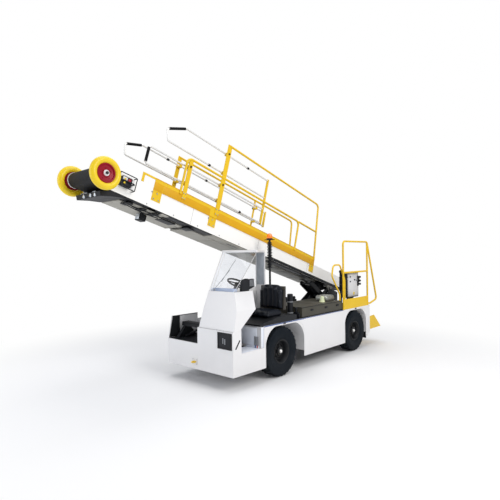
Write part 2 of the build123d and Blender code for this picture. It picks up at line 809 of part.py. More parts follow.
# Scissor base: fixed arms up to the boom's pivot shaft, and the feet of the lift arm
pivot_x, pivot_z = boom_point(pivot_s, pivot_n)
lug_plate = 10.0
lug_left_y = boom_left_y - boom_sheet
lug_right_y = boom_right_y + boom_sheet
arm_width = 30.0
arm_pitch = 55.0
tail_arm_ys = (lug_left_y - lug_plate - arm_gap, far_arm_y)
far_lug_y = far_arm_y - arm_width - arm_gap
tail_arm_length = sqrt((pivot_x - tail_foot_x) ** 2 + (pivot_z - tail_foot_z) ** 2)
tail_arm_angle = degrees(atan2(pivot_z - tail_foot_z, pivot_x - tail_foot_x))
lift_arm_ys = (tail_arm_ys[0] - arm_pitch, tail_arm_ys[1] - arm_width + arm_pitch + arm_plate)
foot_gap = 5.0
foot_plate = 12.0
foot_pin_radius = 25.0
with BuildPart() as scissor_base:
    for arm_y in tail_arm_ys:
        with BuildSketch(side_plane(arm_y)):
            middle = ((pivot_x + tail_foot_x) / 2, (pivot_z + tail_foot_z) / 2, 0)
            with Locations(Location(middle, (0, 0, tail_arm_angle))):
                SlotCenterToCenter(tail_arm_length, 96)
            patch((tail_foot_x - 90, tail_foot_x + 60), (side_top_z, tail_foot_z))
        extrude(amount=arm_width)
    with BuildSketch(side_plane(lug_left_y - 1)):
        with Locations((pivot_x, pivot_z)):
            Circle(pivot_radius)
    extrude(amount=lug_left_y - far_lug_y + lug_plate - 2)
    for lift_y in lift_arm_ys:
        for plate_y in (lift_y + foot_gap + foot_plate, lift_y - arm_plate - foot_gap):
            with BuildSketch(side_plane(plate_y)):
                patch((lift_foot_x - 60, lift_foot_x + 60), (side_top_z, lift_foot_z))
                with Locations((lift_foot_x, lift_foot_z)):
                    Circle(60)
            extrude(amount=foot_plate)
        with BuildSketch(side_plane(lift_y + foot_gap)):
            with Locations((lift_foot_x, lift_foot_z)):
                Circle(foot_pin_radius)
        extrude(amount=arm_plate + 2 * foot_gap)
    split(bisect_by=Plane.XY.offset(side_top_z), keep=Keep.TOP)
scissor_base.part.label = "scissor_base"
export_step(scissor_base.part, "parts/scissor_base.step")

# Lift arm: two plates with roller ends, joined by cross tubes, rolling under the boom
foot_s = (lift_foot_x - front_axle_x) * slope_cos + (lift_foot_z - boom_datum_z) * slope_sin
foot_n = -(lift_foot_x - front_axle_x) * slope_sin + (lift_foot_z - boom_datum_z) * slope_cos
roller_s = foot_s + sqrt(lift_arm_length**2 - (roller_n - foot_n) ** 2)
roller_x, roller_z = boom_point(roller_s, roller_n)
lift_angle = degrees(atan2(roller_z - lift_foot_z, roller_x - lift_foot_x))
with BuildPart() as lift_arm:
    for lift_y in lift_arm_ys:
        with BuildSketch(side_plane(lift_y)):
            middle = ((lift_foot_x + roller_x) / 2, (lift_foot_z + roller_z) / 2, 0)
            with Locations(Location(middle, (0, 0, lift_angle))):
                SlotCenterToCenter(lift_arm_length, 2 * arm_half_height)
            with Locations((lift_foot_x, lift_foot_z)):
                Circle(foot_pin_radius + running_gap, mode=Mode.SUBTRACT)
        extrude(amount=arm_plate)
    for share, radius in ((0.3, 36.0), (1.0, 26.0)):
        tube_x = lift_foot_x + (roller_x - lift_foot_x) * share
        tube_z = lift_foot_z + (roller_z - lift_foot_z) * share
        with BuildSketch(side_plane(lift_arm_ys[0] - arm_plate)):
            with Locations((tube_x, tube_z)):
                Circle(radius)
        extrude(amount=lift_arm_ys[0] - arm_plate - lift_arm_ys[1])
lift_arm.part.label = "lift_arm"
export_step(lift_arm.part, "parts/lift_arm.step")

# Boom side panels
for name, panel_y in (("boom_panel_left", boom_left_y), ("boom_panel_right", lug_right_y)):
    with BuildPart() as boom_panel:
        with BuildSketch(boom_plane(panel_y)):
            outline(
                (tail_s - 90, 70),
                (tail_s - 90, 200),
                (tail_s, panel_height),
                (tip_s - 150, panel_height),
                (tip_s + 30, 175),
                (tip_s + 30, 75),
                (tip_s - 220, 0),
                (tail_s + 60, 0),
            )
        extrude(amount=boom_sheet)
    boom_panel.part.label = name
    export_step(boom_panel.part, "parts/" + name + ".step")

# Boom frame: slider bed under the belt, cross members, low bars, lugs and roller tracks
bed_top_n = drum_n + drum_radius - running_gap
belt_left_y = boom_left_y - belt_margin
belt_right_y = boom_right_y + belt_margin
low_bar_n = (-4.0, 12.0)
low_bars = ((pivot_s - 110, pivot_s + 110), (roller_s - 80, roller_s + 170))
with BuildPart() as boom_frame:
    with BuildSketch(boom_plane(lug_left_y)):
        patch((tail_s + 150, tip_s - 150), (bed_top_n - 8, bed_top_n))
        for cross_s in (tail_s + 250, pivot_s + 400, -1500.0, -450.0, 600.0, 1650.0, tip_s - 350):
            patch((cross_s - 30, cross_s + 30), (80, bed_top_n))
        for bar in low_bars:
            patch(bar, low_bar_n)
    extrude(amount=lug_left_y - lug_right_y)
    for post_y in (lug_left_y, lug_right_y + sheet):
        with BuildSketch(boom_plane(post_y)):
            for bar in low_bars:
                patch(bar, (low_bar_n[0], bed_top_n))
        extrude(amount=sheet)
    for lug_y in (lug_left_y, far_lug_y):
        with BuildSketch(boom_plane(lug_y)):
            patch((pivot_s - 110, pivot_s + 110), (pivot_n, low_bar_n[0]))
            with Locations((pivot_s, pivot_n)):
                Circle(60)
            patch((pivot_s - 110, pivot_s + 110), (low_bar_n[1], 100))
        extrude(amount=lug_plate)
        with BuildSketch(boom_plane(lug_y + 1)):
            patch((pivot_s - 112, pivot_s + 112), (low_bar_n[1], 101))
        extrude(amount=lug_plate + 2, mode=Mode.SUBTRACT)
        with BuildSketch(boom_plane(lug_y + 1)):
            with Locations((pivot_s, pivot_n)):
                Circle(pivot_radius + running_gap)
        extrude(amount=lug_plate + 2, mode=Mode.SUBTRACT)
    for lift_y in lift_arm_ys:
        with BuildSketch(boom_plane(lift_y + 4)):
            patch(low_bars[1], (-30, low_bar_n[0]))
        extrude(amount=arm_plate + 8)
boom_frame.part.label = "boom_frame"
export_step(boom_frame.part, "parts/boom_frame.step")

# Belt: one closed loop around both drums
with BuildPart() as belt:
    with BuildSketch(boom_plane(belt_left_y)):
        with Locations(((tip_s + tail_s) / 2, drum_n)):
            SlotCenterToCenter(tip_s - tail_s, 2 * (drum_radius + belt_thickness))
            SlotCenterToCenter(tip_s - tail_s, 2 * drum_radius, mode=Mode.SUBTRACT)
    extrude(amount=belt_left_y - belt_right_y)
belt.part.label = "belt"
export_step(belt.part, "parts/belt.step")

# Drums at both ends of the belt, their shafts seated in the side panels
with BuildPart() as belt_drums:
    for drum_s in (tail_s, tip_s):
        with BuildSketch(boom_plane(belt_left_y + 8)):
            with Locations((drum_s, drum_n)):
                Circle(drum_radius - running_gap)
        extrude(amount=belt_left_y - belt_right_y + 16)
        with BuildSketch(boom_plane(belt_left_y - 10)):
            with Locations((drum_s, drum_n)):
                Circle(drum_radius - 12)
        extrude(amount=belt_left_y - belt_right_y - 20, mode=Mode.SUBTRACT)
        with BuildSketch(boom_plane(lug_left_y)):
            with Locations((drum_s, drum_n)):
                Circle(bumper_axle_radius)
        extrude(amount=lug_left_y - lug_right_y)
belt_drums.part.label = "belt_drums"
export_step(belt_drums.part, "parts/belt_drums.step")

# Pans closing the far side of the underside
pan_left_y = -250.0
with BuildPart() as belly_pans:
    with BuildSketch(boom_plane(pan_left_y)):
        for pan_s in ((low_bars[1][1] + 5, -60.0), (-20.0, 1230.0), (1340.0, tip_s - 460)):
            patch(pan_s, (-25, 0))
    extrude(amount=pan_left_y - boom_right_y)
    with BuildSketch(boom_plane(lift_arm_ys[1] - arm_plate - 20)):
        patch((pivot_s + 320, low_bars[1][1] + 6), (-25, low_bar_n[0] - running_gap))
    extrude(amount=lift_arm_ys[1] - arm_plate - 20 - boom_right_y)
belly_pans.part.label = "belly_pans"
export_step(belly_pans.part, "parts/belly_pans.step")

# Work lamp under the boom on its bracket
lamp_s = 2020.0
with BuildPart() as work_lamp:
    with BuildSketch(boom_plane(-345)) as lamp_side:
        patch((lamp_s - 60, lamp_s + 60), (-150, -45))
        fillet(lamp_side.vertices(), 14)
    extrude(amount=110)
    with BuildSketch(boom_plane(-380)):
        patch((lamp_s - 20, lamp_s + 20), (-45, -25))
    extrude(amount=40)
work_lamp.part.label = "work_lamp"
export_step(work_lamp.part, "parts/work_lamp.step")

# Tip bracket: axle plates for the bumper wheels and the chevron beam under the drum
with BuildPart() as tip_bracket:
    for plate_y, axle_end_y in ((boom_left_y, bumper_left_y + 52), (boom_right_y, bumper_right_y - 52)):
        outward = 1 if axle_end_y > plate_y else -1
        with BuildSketch(boom_plane(plate_y)):
            with Locations((tip_s - 60, drum_n)):
                SlotCenterToCenter(120, 110)
        extrude(amount=-outward * 10)
        with BuildSketch(boom_plane(plate_y)):
            with Locations((tip_s, drum_n)):
                Circle(bumper_axle_radius)
        extrude(amount=-outward * abs(axle_end_y - plate_y))
    with BuildSketch(boom_plane(boom_left_y)):
        outline((2560, 0), (2770, 0), (2930, -70), (2900, -130), (2720, -70), (2560, -30))
    extrude(amount=boom_left_y - boom_right_y)
tip_bracket.part.label = "tip_bracket"
export_step(tip_bracket.part, "parts/tip_bracket.step")

# Tip controls: push button box inside a bent tube guard
with BuildPart() as tip_controls:
    with BuildSketch(boom_plane(boom_left_y + 62)) as control_face:
        patch((2540, 2700), (110, 250))
        fillet(control_face.vertices(), 16)
    extrude(amount=62)
    guard_origin = boom_plane(boom_left_y).from_local_coords((0, 180, 0))
    tube(
        Plane(origin=guard_origin, x_dir=boom_plane(0).x_dir, z_dir=boom_plane(0).y_dir),
        ((2500, 0), (2500, 85), (2755, 85), (2755, 0)),
        30,
        9,
    )
tip_controls.part.label = "tip_controls"
export_step(tip_controls.part, "parts/tip_controls.step")

# Bumper wheels: fat ring on a dished hub
for name, plane_y in (("bumper_wheel_left", bumper_left_y), ("bumper_wheel_right", bumper_right_y)):
    centre_x, centre_z = boom_point(tip_s, drum_n)
    wheel_axis = Axis((centre_x, plane_y, centre_z), (0, 1, 0))
    outward = 1 if plane_y > 0 else -1
    section_plane = Plane(origin=(centre_x, plane_y, centre_z), x_dir=(0, outward, 0), z_dir=(outward, 0, 0))
    hub_radius = bumper_wheel_radius - 2 * bumper_tyre_radius + 8
    with BuildPart() as bumper_wheel:
        with BuildSketch(section_plane):
            with Locations((0, bumper_wheel_radius - bumper_tyre_radius)):
                Circle(bumper_tyre_radius)
            outline(
                (-30, hub_radius),
                (30, hub_radius),
                (18, hub_radius - 20),
                (8, 60),
                (34, 45),
                (34, bumper_axle_radius + running_gap),
                (-34, bumper_axle_radius + running_gap),
                (-34, 45),
                (-8, 60),
                (-8, hub_radius - 20),
            )
        revolve(axis=wheel_axis)
    bumper_wheel.part.label = name
    export_step(bumper_wheel.part, "parts/" + name + ".step")

# Side guards: the long strip with its lugs, the posts, the bent rails and the slider clamps
left_posts = ((867.0, 1615.0, 90.0), (1600.0, 1007.0, 75.0))
right_posts = ((1352.0, 1287.0, 75.0), (-707.0, 1287.0, 40.0))
left_clamps = (
    (867.0, 1450.0),
    (867.0, 1100.0),
    (867.0, 875.0),
    (867.0, 600.0),
    (1600.0, 875.0),
    (1600.0, 600.0),
)
right_clamps = ((1352.0, 1100.0), (1352.0, 817.0), (-707.0, 1100.0), (-707.0, 817.0))
left_rails = (
    ((867.0, 1600.0), (-2000.0, 1600.0), (guard_rear_s + 40, guard_top_n - 60)),
    ((1680.0, guard_top_n - 60), (1680.0, 1000.0), (-1400.0, 1000.0), (-1400.0, guard_top_n - 60)),
    ((-1400.0, 1000.0), (-2060.0, 1000.0)),
)
right_rails = (((1352.0, 1270.0), (-2030.0, 1270.0), (guard_rear_s + 40, guard_top_n - 60)),)
# side: name, panel face, outward, posts, rails, clamps
guard_table = (
    ("guard_left", boom_left_y, 1, left_posts, left_rails, left_clamps),
    ("guard_right", boom_right_y, -1, right_posts, right_rails, right_clamps),
)
for name, face_y, outward, posts, rails, clamps in guard_table:
    post_y = face_y + outward * guard_sheet
    tube_y = post_y + outward * post_plate / 2
    with BuildPart() as guard:
        with BuildSketch(boom_plane(face_y)):
            patch((guard_rear_s, guard_front_s), (guard_top_n - guard_height, guard_top_n))
            patch((guard_front_s, guard_front_s + 226), (guard_top_n - 30, guard_top_n))
            patch((guard_front_s + 186, guard_front_s + 226), (guard_top_n - 140, guard_top_n))
            for tab_s in (guard_rear_s + 80, 925.0, 2072.0):
                patch((tab_s - 80, tab_s + 80), (guard_top_n - 340, guard_top_n - guard_height))
        extrude(amount=-outward * guard_sheet)
        with BuildSketch(boom_plane(post_y)):
            for post_s, post_top, post_width in posts:
                patch((post_s - post_width / 2, post_s + post_width / 2), (guard_top_n - 120, post_top))
        extrude(amount=-outward * post_plate)
        for rail in rails:
            tube(boom_plane(tube_y), rail, 90, rail_tube)
        for clamp_s, clamp_n in clamps:
            with BuildSketch(boom_plane(post_y)):
                patch((clamp_s - 25, clamp_s + 25), (clamp_n - clamp_half, clamp_n + clamp_half))
            extrude(amount=outward * (guard_sheet + slider_inset + clamp_half))
        for clamp_s, clamp_n in clamps:
            clamp_face = boom_plane(face_y - outward * slider_inset)
            start = clamp_face.from_local_coords((clamp_s - 40, clamp_n, 0))
            with BuildSketch(Plane(origin=start, z_dir=clamp_face.x_dir)):
                Circle(chrome_tube + running_gap)
            extrude(amount=80, mode=Mode.SUBTRACT)
    guard.part.label = name
    export_step(guard.part, "parts/" + name + ".step")

# Sliding hand rails: chrome loops carried by the clamps, with a foam grip on each front piece
left_loops = (
    ((-275.0, 1450.0), (1795.0, 1450.0), (2137.0, 1275.0), (2080.0, 1100.0), (-275.0, 1100.0)),
    ((-275.0, 875.0), (2362.0, 875.0), (2362.0, 600.0), (-275.0, 600.0)),
)
left_grips = (((1815.0, 1440.0), (2117.0, 1285.0)), ((2362.0, 620.0), (2362.0, 855.0)))
right_loops = (((-1000.0, 1100.0), (2140.0, 1100.0), (2440.0, 985.0), (2400.0, 817.0), (-1000.0, 817.0)),)
right_grips = (((2160.0, 1092.0), (2420.0, 993.0)),)
# slider: name, plane, loops, grips, end bar position, end bar from and to
slider_table = (
    ("handrail_left", boom_left_y - slider_inset, left_loops, left_grips, -275.0, (575.0, 1475.0)),
    ("handrail_right", boom_right_y + slider_inset, right_loops, right_grips, -1000.0, (792.0, 1125.0)),
)
for name, slider_plane_y, loops, grips, bar_s, bar_n in slider_table:
    with BuildPart() as handrail:
        for loop in loops:
            tube(boom_plane(slider_plane_y), loop, 40, chrome_tube)
        for grip in grips:
            tube(boom_plane(slider_plane_y), grip, 0, 21)
        with BuildSketch(boom_plane(slider_plane_y + 16)):
            patch((bar_s - 32, bar_s), bar_n)
        extrude(amount=32)
    handrail.part.label = name
    export_step(handrail.part, "parts/" + name + ".step")
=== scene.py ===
"""Looks of an airport baggage belt loader: finishes, fittings, soft parts, studio and camera.

All shapes are drawn in millimetres in the machine's frame, X forward, Y to the driver's left,
Z up, and are scaled to metres when a piece is finished. The boom has its own frame: s along its
slope, y as the machine's, n square to the bed.
"""

import json
import logging
import math
from dataclasses import dataclass
from enum import Enum

import bmesh
import bpy
from mathutils import Matrix, Vector

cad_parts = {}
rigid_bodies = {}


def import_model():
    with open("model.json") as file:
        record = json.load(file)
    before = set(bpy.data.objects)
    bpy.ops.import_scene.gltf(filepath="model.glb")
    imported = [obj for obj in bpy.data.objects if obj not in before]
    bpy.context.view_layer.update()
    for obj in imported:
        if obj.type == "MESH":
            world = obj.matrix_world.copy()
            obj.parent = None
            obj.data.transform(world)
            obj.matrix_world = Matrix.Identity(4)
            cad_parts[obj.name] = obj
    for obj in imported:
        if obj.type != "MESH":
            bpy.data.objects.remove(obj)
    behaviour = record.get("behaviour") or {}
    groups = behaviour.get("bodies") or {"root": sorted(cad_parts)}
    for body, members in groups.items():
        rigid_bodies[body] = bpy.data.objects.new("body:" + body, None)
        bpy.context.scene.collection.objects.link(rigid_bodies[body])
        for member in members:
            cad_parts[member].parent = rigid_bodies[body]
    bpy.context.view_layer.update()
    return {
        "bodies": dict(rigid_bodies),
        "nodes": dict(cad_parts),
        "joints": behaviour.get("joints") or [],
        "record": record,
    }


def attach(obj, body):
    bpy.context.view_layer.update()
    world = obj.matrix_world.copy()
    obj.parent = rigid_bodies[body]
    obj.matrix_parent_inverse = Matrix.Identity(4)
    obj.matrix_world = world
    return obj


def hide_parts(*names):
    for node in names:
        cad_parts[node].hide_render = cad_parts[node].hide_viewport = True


log = logging.getLogger("belt_loader")

MM = 0.001
SMOOTH_ANGLE = math.radians(32)
BLOTCH_FROM, BLOTCH_TO = 0.42, 0.72
COAT_ROUGHNESS = 0.12
DUST = (0.36, 0.33, 0.29, 1.0)
DUST_LOW, DUST_HIGH = 0.2, 0.75
WHITE_LIGHT = (1.0, 1.0, 1.0, 1.0)
Point = tuple[float, float, float]


class Body(Enum):
    """The moving bodies that pieces ride on."""

    CHASSIS = "chassis"
    BOOM = "boom"
    LIFTER = "lifter"
    SLIDER_LEFT = "slider_l"
    SLIDER_RIGHT = "slider_r"
    BUMPER_LEFT = "bumper_l"
    BUMPER_RIGHT = "bumper_r"
    WHEEL_FRONT_LEFT = "wheel_fl"
    WHEEL_FRONT_RIGHT = "wheel_fr"
    WHEEL_REAR_LEFT = "wheel_rl"
    WHEEL_REAR_RIGHT = "wheel_rr"


class Slot(Enum):
    """The record's material slots."""

    BODY = "body_paint"
    BOOM = "boom_paint"
    AMBER = "amber_paint"
    BLACK = "black_paint"
    FRAME = "frame_paint"
    PLASTIC = "black_plastic"
    LOCKER = "locker_cover"
    SEAT = "seat_cover"
    BEACON = "beacon_lens"
    TYRE = "tyre_rubber"
    BELT = "belt_rubber"
    BUMPER = "bumper_rubber"
    BELLY = "belly_paint"
    STEEL = "steel"
    LAMP = "lamp"


class Graph:
    """The nodes of a material or a world."""

    def __init__(self, owner: bpy.types.Material | bpy.types.World) -> None:
        """Starts with no nodes.

        Args:
            owner: The material or world.
        """
        owner.use_nodes = True
        self.nodes, self.links = owner.node_tree.nodes, owner.node_tree.links
        self.nodes.clear()

    def add(self, kind: str, inputs: dict | None = None, **settings: object) -> bpy.types.Node:
        """Adds a node.

        Args:
            kind: Its type, without the leading ShaderNode.
            inputs: For each input, by name or number, its value or the socket that feeds it.
            **settings: Its attributes, set before the inputs.

        Returns:
            The node.
        """
        node = self.nodes.new("ShaderNode" + kind)
        for name, value in settings.items():
            setattr(node, name, value)
        for name, value in (inputs or {}).items():
            if isinstance(value, bpy.types.NodeSocket):
                self.links.new(value, node.inputs[name])
            else:
                node.inputs[name].default_value = value
        return node

    def seen(self) -> bpy.types.NodeSocket:
        """A socket that is 1 for what the camera sees, also through glass, and 0 for other rays."""
        rays = self.add("LightPath").outputs
        return self.add("Math", {0: rays["Is Camera Ray"], 1: rays["Is Transmission Ray"]},
                        operation="MAXIMUM").outputs["Value"]


@dataclass(frozen=True)
class Finish:
    """One surface finish, built as a node material on Object coordinates.

    Attributes:
        name: Name of the material.
        colour: Base colour, linear.
        second: Colour of the broad blotches, or None for a faint shade of the base.
        blotch: Strength of the blotches, 0 to 1.
        blotch_scale: Blotches per metre.
        rough: Mean roughness.
        rough_spread: How far the roughness wanders.
        metal: Metallic share.
        grain_scale: Grain cells per metre of the bump.
        grain: Bump strength.
        edge: Radius of rounded edges in metres, 0 for none.
        dust: Strength of the road dust near the ground.
        coat: Clear coat weight.
        transmission: Share of light let through.
        glow: Emission strength.
        gloss: Strength of the mirror reflection, 0.5 for plain enamel.
    """

    name: str
    colour: tuple[float, float, float]
    second: tuple[float, float, float] | None = None
    blotch: float = 0.12
    blotch_scale: float = 2.5
    rough: float = 0.4
    rough_spread: float = 0.12
    metal: float = 0.0
    grain_scale: float = 400.0
    grain: float = 0.05
    edge: float = 0.004
    dust: float = 0.0
    coat: float = 0.0
    transmission: float = 0.0
    glow: float = 0.0
    gloss: float = 0.5

    def build(self) -> bpy.types.Material:
        """Makes the material.

        Returns:
            The finished material.
        """
        material = bpy.data.materials.new(self.name)
        graph = Graph(material)
        place = graph.add("TexCoord").outputs["Object"]
        blotches = graph.add("TexNoise", {"Vector": place, "Scale": self.blotch_scale, "Detail": 6.0,
                                          "Roughness": 0.62}).outputs["Fac"]
        amount = graph.add("MapRange", {"Value": blotches, "From Min": BLOTCH_FROM,
                                        "From Max": BLOTCH_TO, "To Max": self.blotch})
        second = self.second or tuple(channel * 0.72 for channel in self.colour)
        shade = graph.add("Mix", {"Factor": amount.outputs["Result"], "A": (*self.colour, 1.0),
                                  "B": (*second, 1.0)}, data_type="RGBA")
        colour = shade.outputs["Result"]
        if self.dust > 0.0:
            colour = self._dusted(graph, place, blotches, colour)
        wander = graph.add("MapRange", {"Value": blotches,
                                        "To Min": max(0.02, self.rough - self.rough_spread),
                                        "To Max": min(1.0, self.rough + self.rough_spread)})
        grain = graph.add("TexNoise", {"Vector": place, "Scale": self.grain_scale, "Detail": 3.0})
        bump = graph.add("Bump", {"Height": grain.outputs["Fac"], "Strength": self.grain, "Distance": 0.001})
        if self.edge > 0.0:
            rounding = graph.add("Bevel", {"Radius": self.edge}, samples=4)
            graph.links.new(rounding.outputs["Normal"], bump.inputs["Normal"])
        shader = graph.add("BsdfPrincipled", {
            "Base Color": colour, "Metallic": self.metal, "Roughness": wander.outputs["Result"],
            "Normal": bump.outputs["Normal"], "Coat Weight": self.coat, "Coat Roughness": COAT_ROUGHNESS,
            "Transmission Weight": self.transmission, "Specular IOR Level": self.gloss})
        if self.glow > 0.0:
            shader.inputs["Emission Color"].default_value = (*self.colour, 1.0)
            shader.inputs["Emission Strength"].default_value = self.glow
        graph.add("OutputMaterial", {"Surface": shader.outputs["BSDF"]})
        return material

    def _dusted(self, graph: Graph, place: bpy.types.NodeSocket, blotches: bpy.types.NodeSocket,
                colour: bpy.types.NodeSocket) -> bpy.types.NodeSocket:
        """Adds a veil of road dust that fades with height.

        Args:
            graph: The material's nodes.
            place: Object coordinates.
            blotches: Noise that breaks up the veil.
            colour: Colour under the dust.

        Returns:
            The colour with the dust on it.
        """
        split = graph.add("SeparateXYZ", {"Vector": place})
        height = graph.add("MapRange", {"Value": split.outputs["Z"], "From Min": DUST_LOW,
                                        "From Max": DUST_HIGH, "To Min": self.dust, "To Max": 0.0})
        broken = graph.add("Math", {0: height.outputs["Result"], 1: blotches}, operation="MULTIPLY")
        veil = graph.add("Mix", {"Factor": broken.outputs["Value"], "A": colour,
                                 "B": DUST}, data_type="RGBA")
        return veil.outputs["Result"]


WHITE = Finish("white_enamel", (0.79, 0.785, 0.79), (0.72, 0.72, 0.735), 0.3, 1.6, 0.36, 0.08,
               grain_scale=90, grain=0.04, edge=0.005, dust=0.22, coat=0.2)
# Partly painted light: the boom's cream white is made brighter than the body's white to make up for the
# weaker lamp light on the boom's side.
BOOM_WHITE = Finish("boom_enamel", (0.95, 0.94, 0.91), (0.89, 0.88, 0.85), 0.3, 1.2, 0.4, 0.1,
                    grain_scale=90, grain=0.04, edge=0.004, coat=0.15)
AMBER = Finish("amber_enamel", (0.80, 0.515, 0.011), (0.70, 0.41, 0.009), 0.35, 2.2, 0.42, 0.1,
               grain_scale=120, grain=0.05, edge=0.003, coat=0.1, gloss=0.3)
# Painted shade: a darker copy of the amber enamel for the guard's recessed web.
SHADED_WEB = Finish("amber_web_painted_shade", (0.70, 0.37, 0.006), (0.60, 0.29, 0.005), 0.4, 3.0, 0.46, 0.1,
             edge=0.002, gloss=0.25)
BLACK = Finish("black_enamel", (0.007, 0.008, 0.010), (0.018, 0.019, 0.021), 0.5, 4.0, 0.45, 0.15,
               grain_scale=160, grain=0.08, edge=0.003, gloss=0.3)
CHASSIS_BLACK = Finish("chassis_black", (0.016, 0.017, 0.019), (0.045, 0.043, 0.04), 0.6, 5.0, 0.62, 0.15,
                       grain_scale=200, grain=0.15, edge=0.004, dust=0.25, gloss=0.25)
PLASTIC = Finish("moulded_black", (0.007, 0.008, 0.011), (0.018, 0.019, 0.023), 0.4, 6.0, 0.5, 0.1,
                 grain_scale=900, grain=0.25, edge=0.003, gloss=0.3)
GREY_PLASTIC = Finish("moulded_grey", (0.27, 0.28, 0.30), (0.20, 0.21, 0.22), 0.4, 6.0, 0.5, 0.1,
                      grain_scale=900, grain=0.2, edge=0.003)
PANEL_GREY = Finish("panel_grey", (0.70, 0.70, 0.71), (0.6, 0.6, 0.62), 0.3, 6.0, 0.4, 0.1, edge=0.003)
# Partly painted light: the foot well's pale blue-grey is brightened so that its panels look lit inside the
# shaded well.
WELL_GREY = Finish("well_grey", (0.80, 0.84, 0.92), (0.70, 0.74, 0.83), 0.4, 3.0, 0.5, 0.1, edge=0.003)
SHADE_BLUE = Finish("pillar_shade", (0.45, 0.49, 0.54), (0.32, 0.36, 0.41), 0.6, 9.0, 0.5, 0.1,
                    grain_scale=60, grain=0.3)
DEMISTER = Finish("demister_blue", (0.52, 0.62, 0.84), (0.62, 0.70, 0.86), 0.5, 4.0, 0.45, 0.1)
LOCKER = Finish("locker_olive", (0.060, 0.056, 0.042), (0.095, 0.09, 0.072), 0.5, 3.0, 0.5, 0.15,
                grain_scale=200, grain=0.1, edge=0.006, gloss=0.3)
TYRE = Finish("tyre_rubber", (0.006, 0.009, 0.013), (0.016, 0.02, 0.025), 0.5, 5.0, 0.62, 0.12,
              grain_scale=600, grain=0.25, edge=0.003, dust=0.02, gloss=0.08)
BELT = Finish("belt_rubber", (0.009, 0.009, 0.010), (0.022, 0.022, 0.023), 0.6, 3.0, 0.58, 0.15,
              grain_scale=350, grain=0.6, edge=0.0, gloss=0.2)
BUMPER = Finish("bumper_yellow", (0.86, 0.62, 0.012), (0.78, 0.50, 0.01), 0.4, 6.0, 0.4, 0.1,
                grain_scale=200, grain=0.08, edge=0.0, coat=0.15, gloss=0.35)
RED = Finish("hub_red", (0.31, 0.003, 0.018), (0.22, 0.002, 0.012), 0.4, 8.0, 0.4, 0.1,
             edge=0.003, coat=0.1, gloss=0.2)
# Painted shade: a darker copy of the belly grey for the boom's frame and the far belly pan under the boom.
BELLY_PAINTED_SHADE = Finish("belly_shade", (0.21, 0.205, 0.18), (0.11, 0.107, 0.095), 0.7, 1.8, 0.5, 0.12,
                    grain_scale=120, grain=0.08)
BELLY = Finish("belly_grey", (0.40, 0.385, 0.335), (0.29, 0.28, 0.24), 0.6, 2.2, 0.5, 0.12,
               grain_scale=120, grain=0.08, edge=0.003)
STEEL = Finish("zinc_steel", (0.46, 0.47, 0.49), (0.34, 0.35, 0.37), 0.5, 12.0, 0.34, 0.1, metal=1.0,
               grain_scale=250, grain=0.12, edge=0.002)
STAINLESS = Finish("stainless_tube", (0.84, 0.83, 0.80), (0.74, 0.735, 0.71), 0.4, 5.0, 0.3, 0.08, metal=0.35,
                   grain_scale=300, grain=0.05, edge=0.0)
SILVER = Finish("silver_cover", (0.40, 0.41, 0.38), (0.26, 0.27, 0.24), 0.6, 5.0, 0.32, 0.1, metal=0.6,
                grain_scale=200, grain=0.06, edge=0.006)
FOAM = Finish("grip_foam", (0.006, 0.006, 0.007), (0.014, 0.014, 0.014), 0.4, 20.0, 0.8, 0.08,
              grain_scale=700, grain=0.7, edge=0.0, gloss=0.2)
VINYL = Finish("seat_vinyl", (0.005, 0.007, 0.012), (0.013, 0.016, 0.022), 0.5, 7.0, 0.42, 0.12,
               grain_scale=420, grain=0.4, edge=0.0, coat=0.08, gloss=0.2)
SEAT_SHELL = Finish("seat_shell", (0.035, 0.029, 0.02), (0.012, 0.011, 0.009), 0.6, 8.0, 0.5, 0.1,
                    grain_scale=500, grain=0.2)
SCREEN = Finish("screen_glass", (0.95, 0.96, 0.98), (0.95, 0.96, 0.98), 0.0, 1.0, 0.03, 0.01,
                grain=0.0, edge=0.0, transmission=1.0)
LENS_ORANGE = Finish("lens_orange", (0.92, 0.20, 0.01), None, 0.1, 10.0, 0.18, 0.05, grain=0.0, edge=0.002,
                     coat=0.5, glow=0.2)
LENS_CLEAR = Finish("lens_clear", (0.62, 0.66, 0.70), None, 0.3, 30.0, 0.14, 0.05, metal=0.4, grain=0.1,
                    edge=0.002, coat=0.6)
LENS_RED = Finish("lens_red", (0.5, 0.01, 0.01), None, 0.1, 10.0, 0.2, 0.05, edge=0.002, coat=0.5)
BLUE = Finish("trim_blue", (0.02, 0.075, 0.27), None, 0.2, 6.0, 0.3, 0.08, edge=0.001, coat=0.3)
PALE = Finish("pale_cap", (0.72, 0.78, 0.52), (0.78, 0.74, 0.2), 0.5, 10.0, 0.35, 0.08, edge=0.003, coat=0.2)


class Paintbox:
    """Builds each finish once and hands it out."""

    def __init__(self) -> None:
        """Starts with no material made."""
        self.made: dict[str, bpy.types.Material] = {}

    def get(self, finish: Finish) -> bpy.types.Material:
        """The material of a finish.

        Args:
            finish: The finish wanted.

        Returns:
            Its material, built on first use.
        """
        if finish.name not in self.made:
            self.made[finish.name] = finish.build()
        return self.made[finish.name]


PAINTS = Paintbox()


@dataclass(frozen=True)
class Slope:
    """The boom's own frame: s along the slope, y across, n square to the bed."""

    angle: float = 16.44
    datum_x: float = 320.0
    datum_z: float = 2141.25

    def matrix(self) -> Matrix:
        """The matrix from boom millimetres to machine millimetres."""
        turn = math.radians(self.angle)
        c, s = math.cos(turn), math.sin(turn)
        return Matrix(((c, 0, -s, self.datum_x), (0, 1, 0, 0), (s, 0, c, self.datum_z), (0, 0, 0, 1)))


TILT = Slope().matrix()
LEVEL = Matrix.Identity(4)
ALONG, ACROSS, UP = Vector((1, 0, 0)), Vector((0, 1, 0)), Vector((0, 0, 1))


